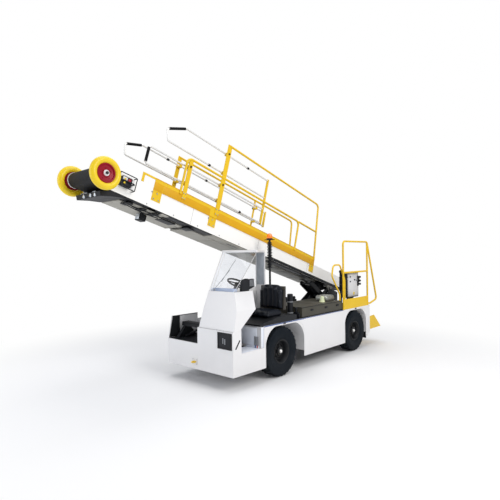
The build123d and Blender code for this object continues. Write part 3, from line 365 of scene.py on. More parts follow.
def round_edges(part: bmesh.types.BMesh, edges: list[bmesh.types.BMEdge], radius: float,
                segments: int = 2) -> None:
    """Rounds edges of a solid.

    Args:
        part: The solid.
        edges: Its edges to round.
        radius: Width of the rounding.
        segments: Steps of the rounding.
    """
    bmesh.ops.bevel(part, geom=edges, offset=radius, segments=segments, profile=0.5, affect="EDGES",
                    material=-1)


class Shape:
    """A mesh in millimetres, put together from simple solids shaped by operators."""

    def __init__(self, place: Matrix = LEVEL) -> None:
        """Starts empty.

        Args:
            place: Matrix from the shape's own millimetres to the machine's.
        """
        self.place = place
        self.mesh = bmesh.new()

    def absorb(self, part: bmesh.types.BMesh) -> "Shape":
        """Adds a finished solid and frees it.

        Args:
            part: The solid.

        Returns:
            The shape itself.
        """
        bmesh.ops.recalc_face_normals(part, faces=part.faces[:])
        kept = bpy.data.meshes.new("part")
        part.to_mesh(kept)
        part.free()
        self.mesh.from_mesh(kept)
        bpy.data.meshes.remove(kept)
        return self

    def block(self, low: Point, high: Point, bevel: float = 0.0, segments: int = 2) -> "Shape":
        """Adds a box with rounded edges.

        Args:
            low: Lowest corner.
            high: Highest corner.
            bevel: Radius of the edges.
            segments: Steps of the rounding.

        Returns:
            The shape itself.
        """
        part = bmesh.new()
        bmesh.ops.create_cube(part, size=1.0)
        size = [b - a for a, b in zip(low, high)]
        middle = Vector([(a + b) / 2 for a, b in zip(low, high)])
        bmesh.ops.scale(part, vec=size, verts=part.verts)
        if bevel > 0.0:
            round_edges(part, part.edges[:], min(bevel, min(size) * 0.49), segments)
        bmesh.ops.translate(part, vec=middle, verts=part.verts)
        return self.absorb(part)

    def rod(self, start: Point, end: Point, radius: float, bevel: float = 0.0, sides: int = 24) -> "Shape":
        """Adds a round bar.

        Args:
            start: Centre of the first end.
            end: Centre of the last end.
            radius: Its radius.
            bevel: Radius of the end edges.
            sides: Sides of the circle.

        Returns:
            The shape itself.
        """
        a, b = Vector(start), Vector(end)
        run = b - a
        part = bmesh.new()
        bmesh.ops.create_cone(part, cap_ends=True, segments=sides, radius1=radius, radius2=radius,
                              depth=run.length)
        if bevel > 0.0:
            ends = [edge for edge in part.edges if abs(edge.verts[0].co.z - edge.verts[1].co.z) < 1e-6]
            round_edges(part, ends, bevel)
        turn = UP.rotation_difference(run.normalized()).to_matrix().to_4x4()
        bmesh.ops.transform(part, matrix=Matrix.Translation((a + b) / 2) @ turn, verts=part.verts)
        return self.absorb(part)

    def ball(self, centre: Point, radius: float) -> "Shape":
        """Adds a sphere.

        Args:
            centre: Its centre.
            radius: Its radius.

        Returns:
            The shape itself.
        """
        part = bmesh.new()
        bmesh.ops.create_uvsphere(part, u_segments=20, v_segments=12, radius=radius)
        bmesh.ops.translate(part, vec=centre, verts=part.verts)
        return self.absorb(part)

    def spin(self, centre: Point, profile: list[tuple[float, float]], axis: Vector = ACROSS,
             steps: int = 64) -> "Shape":
        """Adds a closed profile turned about an axis.

        Args:
            centre: Point on the axis.
            profile: Pairs of distance along the axis and radius, going round a closed outline.
            axis: Direction of the axis.
            steps: Steps of the turn.

        Returns:
            The shape itself.
        """
        part = bmesh.new()
        axis = axis.normalized()
        away = UP if abs(axis.z) < 0.9 else ALONG
        away = (away - axis * away.dot(axis)).normalized()
        ring = [part.verts.new(axis * along + away * radius) for along, radius in profile]
        edges = [part.edges.new((ring[i], ring[(i + 1) % len(ring)])) for i in range(len(ring))]
        bmesh.ops.spin(part, geom=ring + edges, cent=(0, 0, 0), axis=axis, angle=2 * math.pi, steps=steps,
                       use_merge=True)
        bmesh.ops.remove_doubles(part, verts=part.verts, dist=0.01)
        bmesh.ops.translate(part, vec=centre, verts=part.verts)
        return self.absorb(part)

    def plate(self, corners: list[Point], depth: Point, bevel: float = 0.0) -> "Shape":
        """Adds a flat plate with straight sides.

        Args:
            corners: The outline's corners in order.
            depth: Thickness as a vector.
            bevel: Radius of the edges.

        Returns:
            The shape itself.
        """
        part = bmesh.new()
        face = part.faces.new([part.verts.new(corner) for corner in corners])
        grown = bmesh.ops.extrude_face_region(part, geom=[face])
        moved = [item for item in grown["geom"] if isinstance(item, bmesh.types.BMVert)]
        bmesh.ops.translate(part, vec=depth, verts=moved)
        if bevel > 0.0:
            round_edges(part, part.edges[:], bevel)
        return self.absorb(part)

    def tube(self, points: list[Point], radius: float, bend: float = 0.0, sides: int = 5) -> "Shape":
        """Adds a bent round tube along straight runs.

        Args:
            points: Corners of the run.
            radius: Radius of the tube.
            bend: Radius of the bends at the corners.
            sides: Bevel resolution of the tube.

        Returns:
            The shape itself.
        """
        curve = bpy.data.curves.new("run", "CURVE")
        curve.dimensions = "3D"
        path = self._rounded([Vector(point) for point in points], bend)
        spline = curve.splines.new("POLY")
        spline.points.add(len(path) - 1)
        for knot, spot in zip(spline.points, path):
            knot.co = (*spot, 1.0)
        curve.bevel_depth = radius
        curve.bevel_resolution = sides
        curve.use_fill_caps = True
        holder = bpy.data.objects.new("run", curve)
        mesh = bpy.data.meshes.new_from_object(holder)
        part = bmesh.new()
        part.from_mesh(mesh)
        bmesh.ops.remove_doubles(part, verts=part.verts, dist=0.01)
        bpy.data.objects.remove(holder)
        bpy.data.curves.remove(curve)
        bpy.data.meshes.remove(mesh)
        return self.absorb(part)

    @staticmethod
    def _rounded(points: list[Vector], bend: float) -> list[Vector]:
        """Corners of a run with each inner one turned into an arc.

        Args:
            points: The corners.
            bend: Radius of the arcs.

        Returns:
            The points of the rounded run.
        """
        if bend <= 0.0 or len(points) < 3:
            return points
        path = [points[0]]
        for before, corner, after in zip(points, points[1:], points[2:]):
            back = (before - corner).normalized()
            ahead = (after - corner).normalized()
            half = back.angle(ahead) / 2
            shorter = min((before - corner).length, (after - corner).length)
            reach = min(bend / math.tan(half), shorter * 0.49)
            start, end = corner + back * reach, corner + ahead * reach
            for step in range(9):
                share = step / 8
                path.append(start * (1 - share) ** 2 + corner * 2 * share * (1 - share) + end * share**2)
        path.append(points[-1])
        return path

    def bolts(self, spots: list[Point], out: Vector, radius: float = 9.0, height: float = 7.0) -> "Shape":
        """Adds hexagon bolt heads with washers.

        Args:
            spots: Points on the surface.
            out: Direction that the heads stand out.
            radius: Radius of a head.
            height: Height of a head.

        Returns:
            The shape itself.
        """
        for spot in spots:
            base = Vector(spot)
            self.rod(base, base + out * 2.0, radius * 1.35, sides=16)
            self.rod(base + out * 2.0, base + out * (2.0 + height), radius, bevel=1.0, sides=6)
        return self

    def piece(self, name: str, finish: Finish, slot: Slot, replaces: tuple[str, ...] = (),
              body: Body | None = None) -> bpy.types.Object:
        """Turns the shape into an object that rides on a body.

        Args:
            name: Name of the piece.
            finish: Its finish.
            slot: The record's slot for the piece; not used.
            replaces: CAD nodes that it stands for.
            body: Body that it rides on, or None for the boom in the boom's frame and the chassis elsewhere.

        Returns:
            The new object.
        """
        body = body or (Body.BOOM if self.place is TILT else Body.CHASSIS)
        bmesh.ops.transform(self.mesh, matrix=Matrix.Scale(MM, 4) @ self.place, verts=self.mesh.verts)
        for face in self.mesh.faces:
            face.smooth = True
        for edge in self.mesh.edges:
            if len(edge.link_faces) == 2 and edge.calc_face_angle(0.0) > SMOOTH_ANGLE:
                edge.smooth = False
        mesh = bpy.data.meshes.new(name)
        self.mesh.to_mesh(mesh)
        self.mesh.free()
        made = bpy.data.objects.new(name, mesh)
        bpy.context.scene.collection.objects.link(made)
        mesh.materials.append(PAINTS.get(finish))
        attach(made, body.value)
        if replaces:
            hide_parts(*replaces)
        log.info("piece %s: %d faces on %s", name, len(mesh.polygons), body.value)
        return made


@dataclass
class FrameNodes:
    """Gives each carried-over CAD node its finish.

    Attributes:
        groups: Finishes and the nodes that take them. Any other node takes black enamel.
    """

    groups: tuple[tuple[Finish, str], ...] = (
        (WHITE, "body_left body_right nose_shell cab_shell cab_roof"),
        # The boom's panels take the brightened cream white, partly painted light.
        (BOOM_WHITE, "boom_panel_left boom_panel_right"),
        (BELLY, "belly_pans"),
        # Painted shade: the boom's frame takes the darker copy of the belly grey.
        (BELLY_PAINTED_SHADE, "boom_frame"),
        (CHASSIS_BLACK, "chassis_frame battery_block deck front_axle rear_axle knuckle_left knuckle_right"),
        (PLASTIC, "dashboard steering_wheel canister tip_controls"),
        (AMBER, "tow_eye platform_rail grab_hoop rear_step guard_left guard_right"),
        (STAINLESS, "handrail_left handrail_right"),
        (BUMPER, "bumper_wheel_left bumper_wheel_right"),
        (TYRE, "tyre_front_left tyre_front_right tyre_rear_left tyre_rear_right"),
        (SCREEN, "cab_glass"),
        (VINYL, "seat"),
        (LOCKER, "deck_locker"),
        (LENS_ORANGE, "beacon"),
        (BELT, "belt"),
        (STEEL, "belt_drums"),
    )

    def dress(self, nodes: dict[str, bpy.types.Object]) -> None:
        """Assigns the materials.

        Args:
            nodes: The CAD nodes by name.
        """
        table = {name: finish for finish, names in self.groups for name in names.split()}
        for name, item in nodes.items():
            finish = table.get(name, BLACK)
            item.data.materials.clear()
            item.data.materials.append(PAINTS.get(finish))
        log.info("dressed %d carried-over nodes", len(nodes))


@dataclass
class RoadWheels:
    """Tyres with lugs and sidewall rings, hubs with nuts and a bright cap."""

    radius: float = 418.0
    half_width: float = 125.0
    rim_radius: float = 205.0
    plane_y: float = 643.0
    front_x: float = 320.0
    rear_x: float = -2180.0
    lugs: int = 30

    def build(self) -> None:
        """Makes all four wheels."""
        table = (
            ("front_left", self.front_x, 1, Body.WHEEL_FRONT_LEFT),
            ("front_right", self.front_x, -1, Body.WHEEL_FRONT_RIGHT),
            ("rear_left", self.rear_x, 1, Body.WHEEL_REAR_LEFT),
            ("rear_right", self.rear_x, -1, Body.WHEEL_REAR_RIGHT),
        )
        for ending, x, side, body in table:
            centre = (x, side * self.plane_y, self.radius)
            self._tyre(centre).piece("road_tyre_" + ending, TYRE, Slot.TYRE, ("tyre_" + ending,), body)
            self._nuts(centre, side).piece("wheel_nuts_" + ending, CHASSIS_BLACK, Slot.BLACK, body=body)
            cap = [(side * a, r) for a, r in ((68, 2), (68, 30), (74, 32), (90, 29), (98, 20), (100, 2))]
            Shape().spin(centre, cap, steps=32).piece("hub_cap_" + ending, STAINLESS, Slot.STEEL, body=body)
            self._rings(centre, side).piece("rim_rings_" + ending, BLACK, Slot.BLACK, body=body)

    def _tyre(self, centre: Point) -> Shape:
        """One tyre.

        Args:
            centre: Centre of the wheel.

        Returns:
            Its shape.
        """
        r, w, b = self.radius, self.half_width, self.rim_radius
        side = [(-95, b), (-108, b + 22), (-118, b + 55), (-124, b + 92), (-125, b + 125), (-122, b + 128),
                (-122, b + 136), (-125, b + 139), (-121, b + 168), (-110, r - 22), (-92, r - 14)]
        profile = side + [(-along, radius) for along, radius in reversed(side)] + [(70, b - 2), (-70, b - 2)]
        tyre = Shape().spin(centre, profile, steps=96)
        for number in range(self.lugs):
            angle = 2 * math.pi * number / self.lugs
            for hand in (-1, 1):
                part = bmesh.new()
                bmesh.ops.create_cube(part, size=1.0)
                bmesh.ops.scale(part, vec=(40, w - 12, 22), verts=part.verts)
                round_edges(part, part.edges[:], 4, 1)
                lean = Matrix.Rotation(math.radians(24 * hand), 4, "Z")
                bmesh.ops.transform(part, matrix=lean, verts=part.verts)
                bmesh.ops.translate(part, vec=(0, hand * w * 0.5, r - 14), verts=part.verts)
                for vert in part.verts:
                    over = abs(vert.co.y) - (w - 26)
                    if over > 0:
                        vert.co.z -= over * 0.75
                        vert.co.y -= math.copysign(over * 0.25, vert.co.y)
                    vert.co.z = min(vert.co.z, math.sqrt(max(r * r - vert.co.x**2, 0.0)) - 0.3)
                turn = Matrix.Rotation(angle + hand * math.pi / self.lugs / 2, 4, "Y")
                bmesh.ops.transform(part, matrix=Matrix.Translation(centre) @ turn, verts=part.verts)
                tyre.absorb(part)
        return tyre

    def _rings(self, centre: Point, side: int) -> Shape:
        """Raised rings of the rim's dish.

        Args:
            centre: Centre of the wheel.
            side: 1 for the left, -1 for the right.

        Returns:
            Their shape.
        """
        rings = Shape()
        b = self.rim_radius
        lip = [(side * a, b - d) for a, d in ((88, 26), (98, 22), (104, 10), (102, 1), (92, 3))]
        rings.spin(centre, lip, steps=72)
        step = [(side * a, b - d) for a, d in ((24, 66), (32, 70), (33, 80), (20, 84))]
        rings.spin(centre, step, steps=64)
        return rings

    def _nuts(self, centre: Point, side: int) -> Shape:
        """Wheel nuts on their studs.

        Args:
            centre: Centre of the wheel.
            side: 1 for the left, -1 for the right.

        Returns:
            Their shape.
        """
        nuts = Shape()
        out = Vector((0, side, 0))
        x, y, z = centre
        for number in range(6):
            angle = 2 * math.pi * (number + 0.5) / 6
            spot = Vector((x + 84 * math.cos(angle), y + side * 26, z + 84 * math.sin(angle)))
            nuts.rod(spot, spot + out * 18, 13, bevel=2, sides=6)
            nuts.rod(spot + out * 18, spot + out * 28, 7, bevel=1, sides=12)
        return nuts


@dataclass
class Bodywork:
    """Small fittings of the painted body: lamps, markers, trim lines, handles and bolts."""

    side_y: float = 768.0
    nose_x: float = 1512.0

    def build(self) -> None:
        """Makes all body fittings."""
        self._head_lamp()
        self._markers()
        self._trim()
        self._bay()
        self._tow_eye()
        self._rear()

    def _head_lamp(self) -> None:
        """The black lamp panel with its raised frame, dark glass and two grey bars painted on the glass as
        highlights.
        """
        x = self.nose_x
        panel = Shape().block((x, 445, 630), (x + 8, 750, 880), 4)
        panel.block((x + 4, 455, 640), (x + 14, 740, 652), 3).block((x + 4, 455, 858), (x + 14, 740, 870), 3)
        panel.block((x + 4, 455, 640), (x + 14, 467, 870), 3).block((x + 4, 728, 640), (x + 14, 740, 870), 3)
        panel.piece("lamp_panel", BLACK, Slot.LAMP, ("head_lamp",))
        Shape().block((x + 7, 476, 662), (x + 10, 719, 848), 2).piece("lamp_glass", PLASTIC, Slot.LAMP)
        # Painted highlights: two grey bars on the dark glass stand in for glints of light on the lens.
        marks = Shape()
        for y, low in ((572, 716), (612, 706)):
            marks.block((x + 9, y - 9, low), (x + 15, y + 9, low + 84), 4)
        marks.piece("lamp_painted_highlights", GREY_PLASTIC, Slot.LAMP)

    def _markers(self) -> None:
        """Small markers over the wheel arches."""
        marks = Shape()
        for x in (265, -2190):
            for side in (-1, 1):
                y = side * (self.side_y + 9)
                marks.block((x - 30, min(y, y - side * 9), 872), (x + 30, max(y, y - side * 9), 896), 4)
        marks.piece("arch_markers", PLASTIC, Slot.LAMP)

    def _trim(self) -> None:
        """Blue line along the top edge, slanted handle, lining of the foot well, arch lips."""
        line = Shape().block((-300, self.side_y, 884), (795, self.side_y + 3, 900), 1)
        line.block((-1690, self.side_y, 889), (-300, self.side_y + 3, 900), 1)
        line.piece("blue_line", BLUE, Slot.BODY)
        run = [(1458, 750, 640), (1448, 764, 652), (1368, 764, 758), (1358, 750, 770)]
        Shape().tube(run, 13, 14).piece("step_handle", PLASTIC, Slot.PLASTIC)
        # The well's panels take the brightened blue-grey, partly painted light.
        cheek = Shape().block((790, 748, 560), (856, 757, 899), 1)
        cheek.block((905, 470, 560), (1396, 757, 563), 1).block((903, 470, 563), (906, 745, 600), 1)
        cheek.piece("well_cheek", WELL_GREY, Slot.BODY)
        lips = Shape()
        for rear, front, corner in ((-308, 765, 330), (-2650, -1735, 300)):
            for side in (-1, 1):
                y = side * (self.side_y - 2)
                run = [(rear, y, 240), (rear, y, 866), (front, y, 866), (front, y, 240)]
                lips.tube([(x, yy, z) for x, yy, z in run], 7, corner * 0.72, 3)
        lips.piece("arch_lips", WHITE, Slot.BODY)

    def _bay(self) -> None:
        """Rubber face on the boom's rest, dark floor and wall panel of the bay, cap of the wall."""
        Shape().block((1128, -690, 889), (1272, -90, 897), 3).piece("rest_rubber", BELT, Slot.BELT)
        dark = Shape().block((868, -745, 640), (1498, -17, 644), 1)
        dark.plate([(1500, -747, 650), (1424, -747, 996), (1275, -747, 996), (1275, -747, 650)], (0, 4, 0))
        for number in range(7):
            dark.block((900 + number * 70, -745, 644), (930 + number * 70, -60, 650), 2)
        dark.piece("bay_lining", BLACK, Slot.BLACK)
        Shape().block((858, -770, 996), (1434, -746, 1004), 3).piece(
            "bay_wall_cap", CHASSIS_BLACK, Slot.BLACK)
        braces = Shape()
        for y in (-560, -220):
            braces.tube([(900, y, 850), (1010, y, 740), (1300, y, 662)], 20, 60, 4)
        braces.piece("bay_braces", BLACK, Slot.BLACK)

    def _tow_eye(self) -> None:
        """Painted base plate with its bolts, and the yellow tongue with its hole."""
        x = self.nose_x
        Shape().block((x, -134, 301), (x + 7, -16, 399), 3).piece("tow_base", WHITE, Slot.BODY, ("tow_eye",))
        ring = [(0, 17), (0, 36), (18, 36), (18, 17)]
        tongue = Shape().spin((x + 36, -75, 340), ring, UP, 40)
        tongue.block((x + 4, -113, 341), (x + 16, -37, 359), 3)
        tongue.piece("tow_tongue", AMBER, Slot.AMBER)
        spots = [(x + 7, y, z) for y in (-120, -30) for z in (316, 384)]
        Shape().bolts(spots, ALONG, 6, 4).piece("tow_bolts", STEEL, Slot.STEEL)

    def _rear(self) -> None:
        """Tail lamps, step treads with grip bars and the mud flap."""
        lamps = Shape()
        for y in (640, -640):
            lamps.block((-2842, y - 60, 700), (-2830, y + 60, 760), 5)
        lamps.piece("tail_lenses", LENS_RED, Slot.BEACON)
        grip = Shape()
        for tread_x, tread_z in ((-3230, 395), (-3010, 585)):
            for number in range(9):
                x = tread_x - 100 + number * 25
                grip.block((x - 5, 316, tread_z), (x + 5, 740, tread_z + 4), 1.5)
        grip.piece("tread_bars", STEEL, Slot.STEEL)
        flap = Shape().block((-2672, 540, 190), (-2664, 756, 560), 2)
        flap.bolts([(-2664, y, 540) for y in (570, 648, 726)], ALONG, 7, 5)
        flap.piece("mud_flap", PLASTIC, Slot.PLASTIC)


@dataclass
class Cab:
    """Screen surround, pillar panel, wiper, pod ribs, pedals, mat and tabs of the foot well."""

    def build(self) -> None:
        """Makes the cab's fittings."""
        frame = Shape()
        foot_right, foot_left = (1263, 4, 1458), (1229, 530, 1458)
        head_left, head_right = (904, 724, 2078), (952, 4, 2078)
        frame.tube([foot_right, head_right], 9, 0, 3)
        frame.tube([(1258, 62, 1460), (949, 60, 2076)], 6, 0, 3)
        frame.piece("screen_post", WHITE, Slot.BODY)
        Shape().tube([foot_right, foot_left, head_left], 4, 8, 3).piece("screen_seal", PANEL_GREY, Slot.BODY)
        Shape().block((106, 22, 1500), (109, 196, 2066), 1).piece("pillar_panel", SHADE_BLUE, Slot.BODY)
        ledge = Shape().plate([(1236, 12, 1459), (1206, 500, 1459), (1184, 500, 1505), (1213, 12, 1505)],
                              (-60, 0, 0), 3)
        ledge.piece("demister", DEMISTER, Slot.PLASTIC)
        wiper = Shape().rod((1262, 120, 1470), (1262, 120, 1495), 10, bevel=2)
        wiper.tube([(1264, 120, 1490), (1110, 330, 1800)], 4, 0, 2)
        wiper.tube([(1180, 200, 1610), (1020, 370, 1960)], 4, 0, 2)
        wiper.piece("wiper", GREY_PLASTIC, Slot.PLASTIC)
        pod = Shape()
        for number in range(7):
            x = 775 + number * 16
            pod.block((x, 538, 1530), (x + 7, 546, 1636), 2)
        pod.piece("pod_ribs", GREY_PLASTIC, Slot.PLASTIC)
        # The riser panel takes the brightened blue-grey, partly painted light.
        Shape().block((895, 300, 600), (901, 700, 880), 2).piece("riser_panel", WELL_GREY, Slot.BODY)
        Shape().block((901, 645, 590), (905, 735, 745), 2).piece("pedal_plate", GREY_PLASTIC, Slot.PLASTIC)
        Shape().block((904, 664, 566), (911, 684, 606), 2).piece("blue_tab", BLUE, Slot.PLASTIC)
        Shape().block((904, 704, 562), (911, 724, 602), 2).piece("red_tab", LENS_RED, Slot.PLASTIC)
        mat = Shape().block((905, 20, 560), (1320, 466, 566), 2)
        for number in range(12):
            mat.block((920 + number * 33, 30, 566), (934 + number * 33, 456, 569), 1)
        mat.piece("floor_mat", BELT, Slot.BELT)
        pedals = Shape()
        for y in (230, 380):
            pedals.tube([(1330, y, 900), (1300, y, 760), (1270, y, 700)], 9, 20, 3)
            pedals.block((1255, y - 35, 660), (1267, y + 35, 740), 4)
        pedals.piece("pedals", BLACK, Slot.PLASTIC)


@dataclass
class Seat:
    """Black vinyl seat: cushion and back as padded pieces over a shell.

    Attributes:
        left_y: Left edge.
        right_y: Right edge.
        voxel: Cell of the even mesh, in metres.
        frames: Frames of the cloth run.
        furthest: Longest move of a point in the cloth run, in metres.
        fill: How full the pads are; not used.
    """

    left_y: float = 700.0
    right_y: float = 160.0
    voxel: float = 0.009
    frames: int = 16
    furthest: float = 0.016
    fill: float = 0.7

    def build(self) -> None:
        """Makes the seat."""
        wedge = [(118, 166, 1090), (196, 166, 1090), (160, 166, 1490), (118, 166, 1490)]
        Shape().plate(wedge, (0, 528, 0), 8).piece("seat_shell", SEAT_SHELL, Slot.SEAT)
        low, high = self.right_y + 12, self.left_y - 12
        cushion = Shape().block((196, low, 1006), (592, high, 1062), 26, 3)
        roll = (high - low) / 5
        for number in range(5):
            start = low + number * roll
            cushion.block((206, start + 3, 1040), (600 - 14 * abs(number - 2), start + roll - 3, 1086), 20, 3)
        self._pad(cushion, "seat_cushion", ("seat",))
        top, bend, middle = 1530.0, 150.0, (low + high) / 2
        outline = [(150.0, low + 6, 1092.0)]
        for centre, first in ((low + 6 + bend, math.pi), (high - 6 - bend, math.pi / 2)):
            for step in range(9):
                turn = first - step * math.pi / 16
                outline.append((150.0, centre + bend * math.cos(turn), top - bend + bend * math.sin(turn)))
        outline.append((150.0, high - 6, 1092.0))
        back = Shape().plate(outline, (48, 0, 0))
        for number in range(5):
            start = low + number * roll
            head = top - 14 - 42 * abs(start + roll / 2 - middle) / roll
            back.block((178, start + 4, 1112), (232 - (number % 4 == 0) * 4, start + roll - 4, head), 22, 3)
        self._pad(back, "seat_back")

    def _pad(self, shape: Shape, name: str, replaces: tuple[str, ...] = ()) -> None:
        """Swells one pad by a cloth run and finishes it.

        Args:
            shape: The block to swell.
            name: Name of the pad.
            replaces: CAD nodes that it stands for.
        """
        pad = shape.piece(name, VINYL, Slot.SEAT, replaces)
        remesh = pad.modifiers.new("even", "REMESH")
        remesh.mode = "VOXEL"
        remesh.voxel_size = self.voxel
        ease = pad.modifiers.new("ease", "SMOOTH")
        ease.factor = 0.5
        ease.iterations = 8
        self._apply(pad)
        start = [vert.co.copy() for vert in pad.data.vertices]
        cloth = pad.modifiers.new("swell", "CLOTH")
        cloth.settings.use_pressure = True
        cloth.settings.uniform_pressure_force = 4.0
        cloth.settings.effector_weights.gravity = 0.0
        cloth.settings.tension_stiffness = 30
        cloth.settings.compression_stiffness = 30
        for step in range(1, self.frames + 1):
            bpy.context.scene.frame_set(step)
        self._apply(pad)
        bpy.context.scene.frame_set(1)
        for vert, old in zip(pad.data.vertices, start):
            move = vert.co - old
            if move.length > self.furthest:
                vert.co = old + move.normalized() * self.furthest
        for face in pad.data.polygons:
            face.use_smooth = True
        smooth = pad.modifiers.new("smooth", "SUBSURF")
        smooth.levels = 1
        smooth.render_levels = 1

    @staticmethod
    def _apply(piece: bpy.types.Object) -> None:
        """Bakes the modifiers of a piece into its mesh.

        Args:
            piece: The piece.
        """
        graph = bpy.context.evaluated_depsgraph_get()
        graph.update()
        mesh = bpy.data.meshes.new_from_object(piece.evaluated_get(graph))
        piece.modifiers.clear()
        old = piece.data
        piece.data = mesh
        bpy.data.meshes.remove(old)


@dataclass
class Deck:
    """Locker lids, filler, covers, operator's cabinet and the mast's fins and beacon."""

    def build(self) -> None:
        """Makes the deck's fittings."""
        lids = Shape()
        for x in (-1300, -860):
            lids.block((x - 3, 6, 1091), (x + 3, 738, 1093.5), 0.8)
        for x in (-1500, -1080, -600):
            lids.block((x - 45, 740, 1000), (x + 45, 752, 1034), 5)
        lids.piece("locker_latches", PLASTIC, Slot.PLASTIC)
        filler = Shape().spin((-1230, 560, 1090), [(0, 2), (0, 56), (12, 52), (60, 40), (112, 30), (116, 2)],
                              UP, 40)
        filler.piece("filler_cap", PALE, Slot.PLASTIC)
        Shape().block((-1645, 325, 1090), (-1325, 605, 1204), 48, 5).piece("silver_cover", SILVER, Slot.STEEL)
        lip = Shape().block((-1692, 8, 1074), (-288, 744, 1084), 3)
        lip.block((-1692, 741, 905), (-288, 744, 918), 1)
        lip.piece("locker_lip", CHASSIS_BLACK, Slot.LOCKER)
        valves = Shape().block((-262, 596, 900), (-226, 690, 1010), 8)
        valves.rod((-244, 640, 1010), (-244, 640, 1062), 20, bevel=4)
        valves.ball((-244, 640, 1070), 26).rod((-250, 700, 900), (-250, 700, 985), 16, bevel=3)
        valves.piece("deck_valves", PLASTIC, Slot.PLASTIC)
        bands = Shape()
        for z in (985, 1180):
            bands.spin((-190, 550, z), [(0, 51), (0, 54), (18, 54), (18, 51)], UP, 32)
        bands.piece("canister_bands", GREY_PLASTIC, Slot.PLASTIC)
        self._lift()
        self._cabinet()
        self._mast()

    def _lift(self) -> None:
        """Side cover, pumps, belt drive and the web between the arms of the scissor lift."""
        cover = Shape().plate([(-2300, -43, 902), (-2345, -43, 1096), (-2440, -43, 1196), (-2500, -43, 1232),
                               (-2580, -43, 1222), (-2824, -43, 1140), (-2824, -43, 902)], (0, 6, 0), 2)
        for number in range(6):
            z = 950 + number * 34
            cover.block((-2790, -38, z), (-2400 - number * 14, -33, z + 12), 2)
        cover.bolts([(-2340, -37, 930), (-2560, -37, 1190), (-2790, -37, 1120), (-2790, -37, 925)],
                    ACROSS, 9, 6)
        cover.piece("lift_cover", BLACK, Slot.BLACK)
        pump = Shape().block((-2824, -380, 902), (-2612, -176, 1122), 10)
        pump.rod((-2718, -176, 1000), (-2718, -120, 1000), 62, bevel=8)
        pump.block((-1880, -620, 902), (-1500, -520, 1030), 10)
        pump.rod((-1860, -570, 1060), (-1520, -570, 1060), 34, bevel=6)
        pump.block((-2800, -690, 902), (-2472, -560, 1060), 8)
        for number in range(6):
            pump.block((-2780 + number * 50, -560, 920), (-2756 + number * 50, -555, 1040), 2)
        pump.piece("pump_housing", PLASTIC, Slot.BLACK)
        drive = Shape(TILT).block((-2896, -376, -130), (-2700, -170, -6), 10)
        for number in range(4):
            drive.block((-2886 + number * 46, -170, -122), (-2868 + number * 46, -165, -14), 2)
        # Painted shade: a thin black sheet fills the opening between the boom's low bars so that it reads as
        # dark shade.
        drive.block((-2846, -690, -3), (-2442, -60, 3), 1)
        drive.piece("belt_drive", PLASTIC, Slot.BLACK)
        foot, roller = Vector((-2541, -386, 960)), Vector((-1916, -386, 1382))
        along = roller - foot
        square = Vector((-along.z, 0, along.x)).normalized() * 6
        web = Shape()
        for low, high in ((0.10, 0.36), (0.38, 0.62), (0.64, 0.90)):
            first, last = foot + along * low, foot + along * high
            corners = (first - square, last - square, last + square, first + square)
            web.plate([tuple(corner) for corner in corners], (0, 222, 0), 2)
        for y in (-200, -350):
            web.tube([(-2470, y, 1000), (-2300, y, 1118), (-1990, y, 1326)], 9, 0, 3)
        web.piece("lift_web", PLASTIC, Slot.BLACK, body=Body.LIFTER)

    def _cabinet(self) -> None:
        """Pale face, knobs and levers of the operator's cabinet, and the stick beside it."""
        Shape().block((-2578, 625, 1114), (-2120, 633, 1606), 5).piece("cabinet_face", PANEL_GREY, Slot.BODY)
        seams = Shape()
        for x in (-2562, -2136):
            seams.block((x - 3, 632, 1126), (x + 3, 635, 1594), 1)
        for z in (1128, 1592):
            seams.block((-2565, 632, z - 3), (-2133, 635, z + 3), 1)
        seams.piece("cabinet_seams", BLACK, Slot.BLACK)
        knobs = Shape()
        for x, z in ((-2215, 1540), (-2215, 1440), (-2400, 1470)):
            knobs.rod((x, 632, z), (x, 650, z), 15, bevel=2, sides=20)
        for z in (1370, 1440, 1520):
            knobs.rod((-2560, 632, z), (-2566, 672, z + 4), 11, bevel=2, sides=16)
            knobs.ball((-2568, 678, z + 5), 24)
        knobs.block((-2592, 628, 1330), (-2520, 646, 1550), 6)
        knobs.piece("cabinet_knobs", PLASTIC, Slot.PLASTIC)
        Shape().block((-2400, 633, 1150), (-2350, 636, 1210), 2).piece("cabinet_tab", BUMPER, Slot.AMBER)
        stop = Shape().spin((-2480, 634, 1460), [(0, 2), (0, 14), (10, 14), (12, 24), (20, 22), (24, 2)],
                            ACROSS, 32)
        stop.piece("stop_button", GREY_PLASTIC, Slot.PLASTIC)
        Shape().rod((-1810, 692, 1560), (-1810, 692, 1690), 12, bevel=3).piece(
            "stick_lever", PALE, Slot.PLASTIC)
        sleeve = Shape().rod((-1790, 655, 1270), (-1790, 655, 1566), 31, bevel=8)
        sleeve.rod((-1810, 655, 1668), (-1772, 655, 1668), 9, sides=12).ball((-1768, 655, 1668), 25)
        sleeve.piece("stick_sleeve", FOAM, Slot.PLASTIC)
        Shape().tube([(-2635, 565, 1510), (-2640, 565, 1600)], 7, 0, 3).ball((-2641, 565, 1610), 20).piece(
            "cabinet_lever", PLASTIC, Slot.PLASTIC)

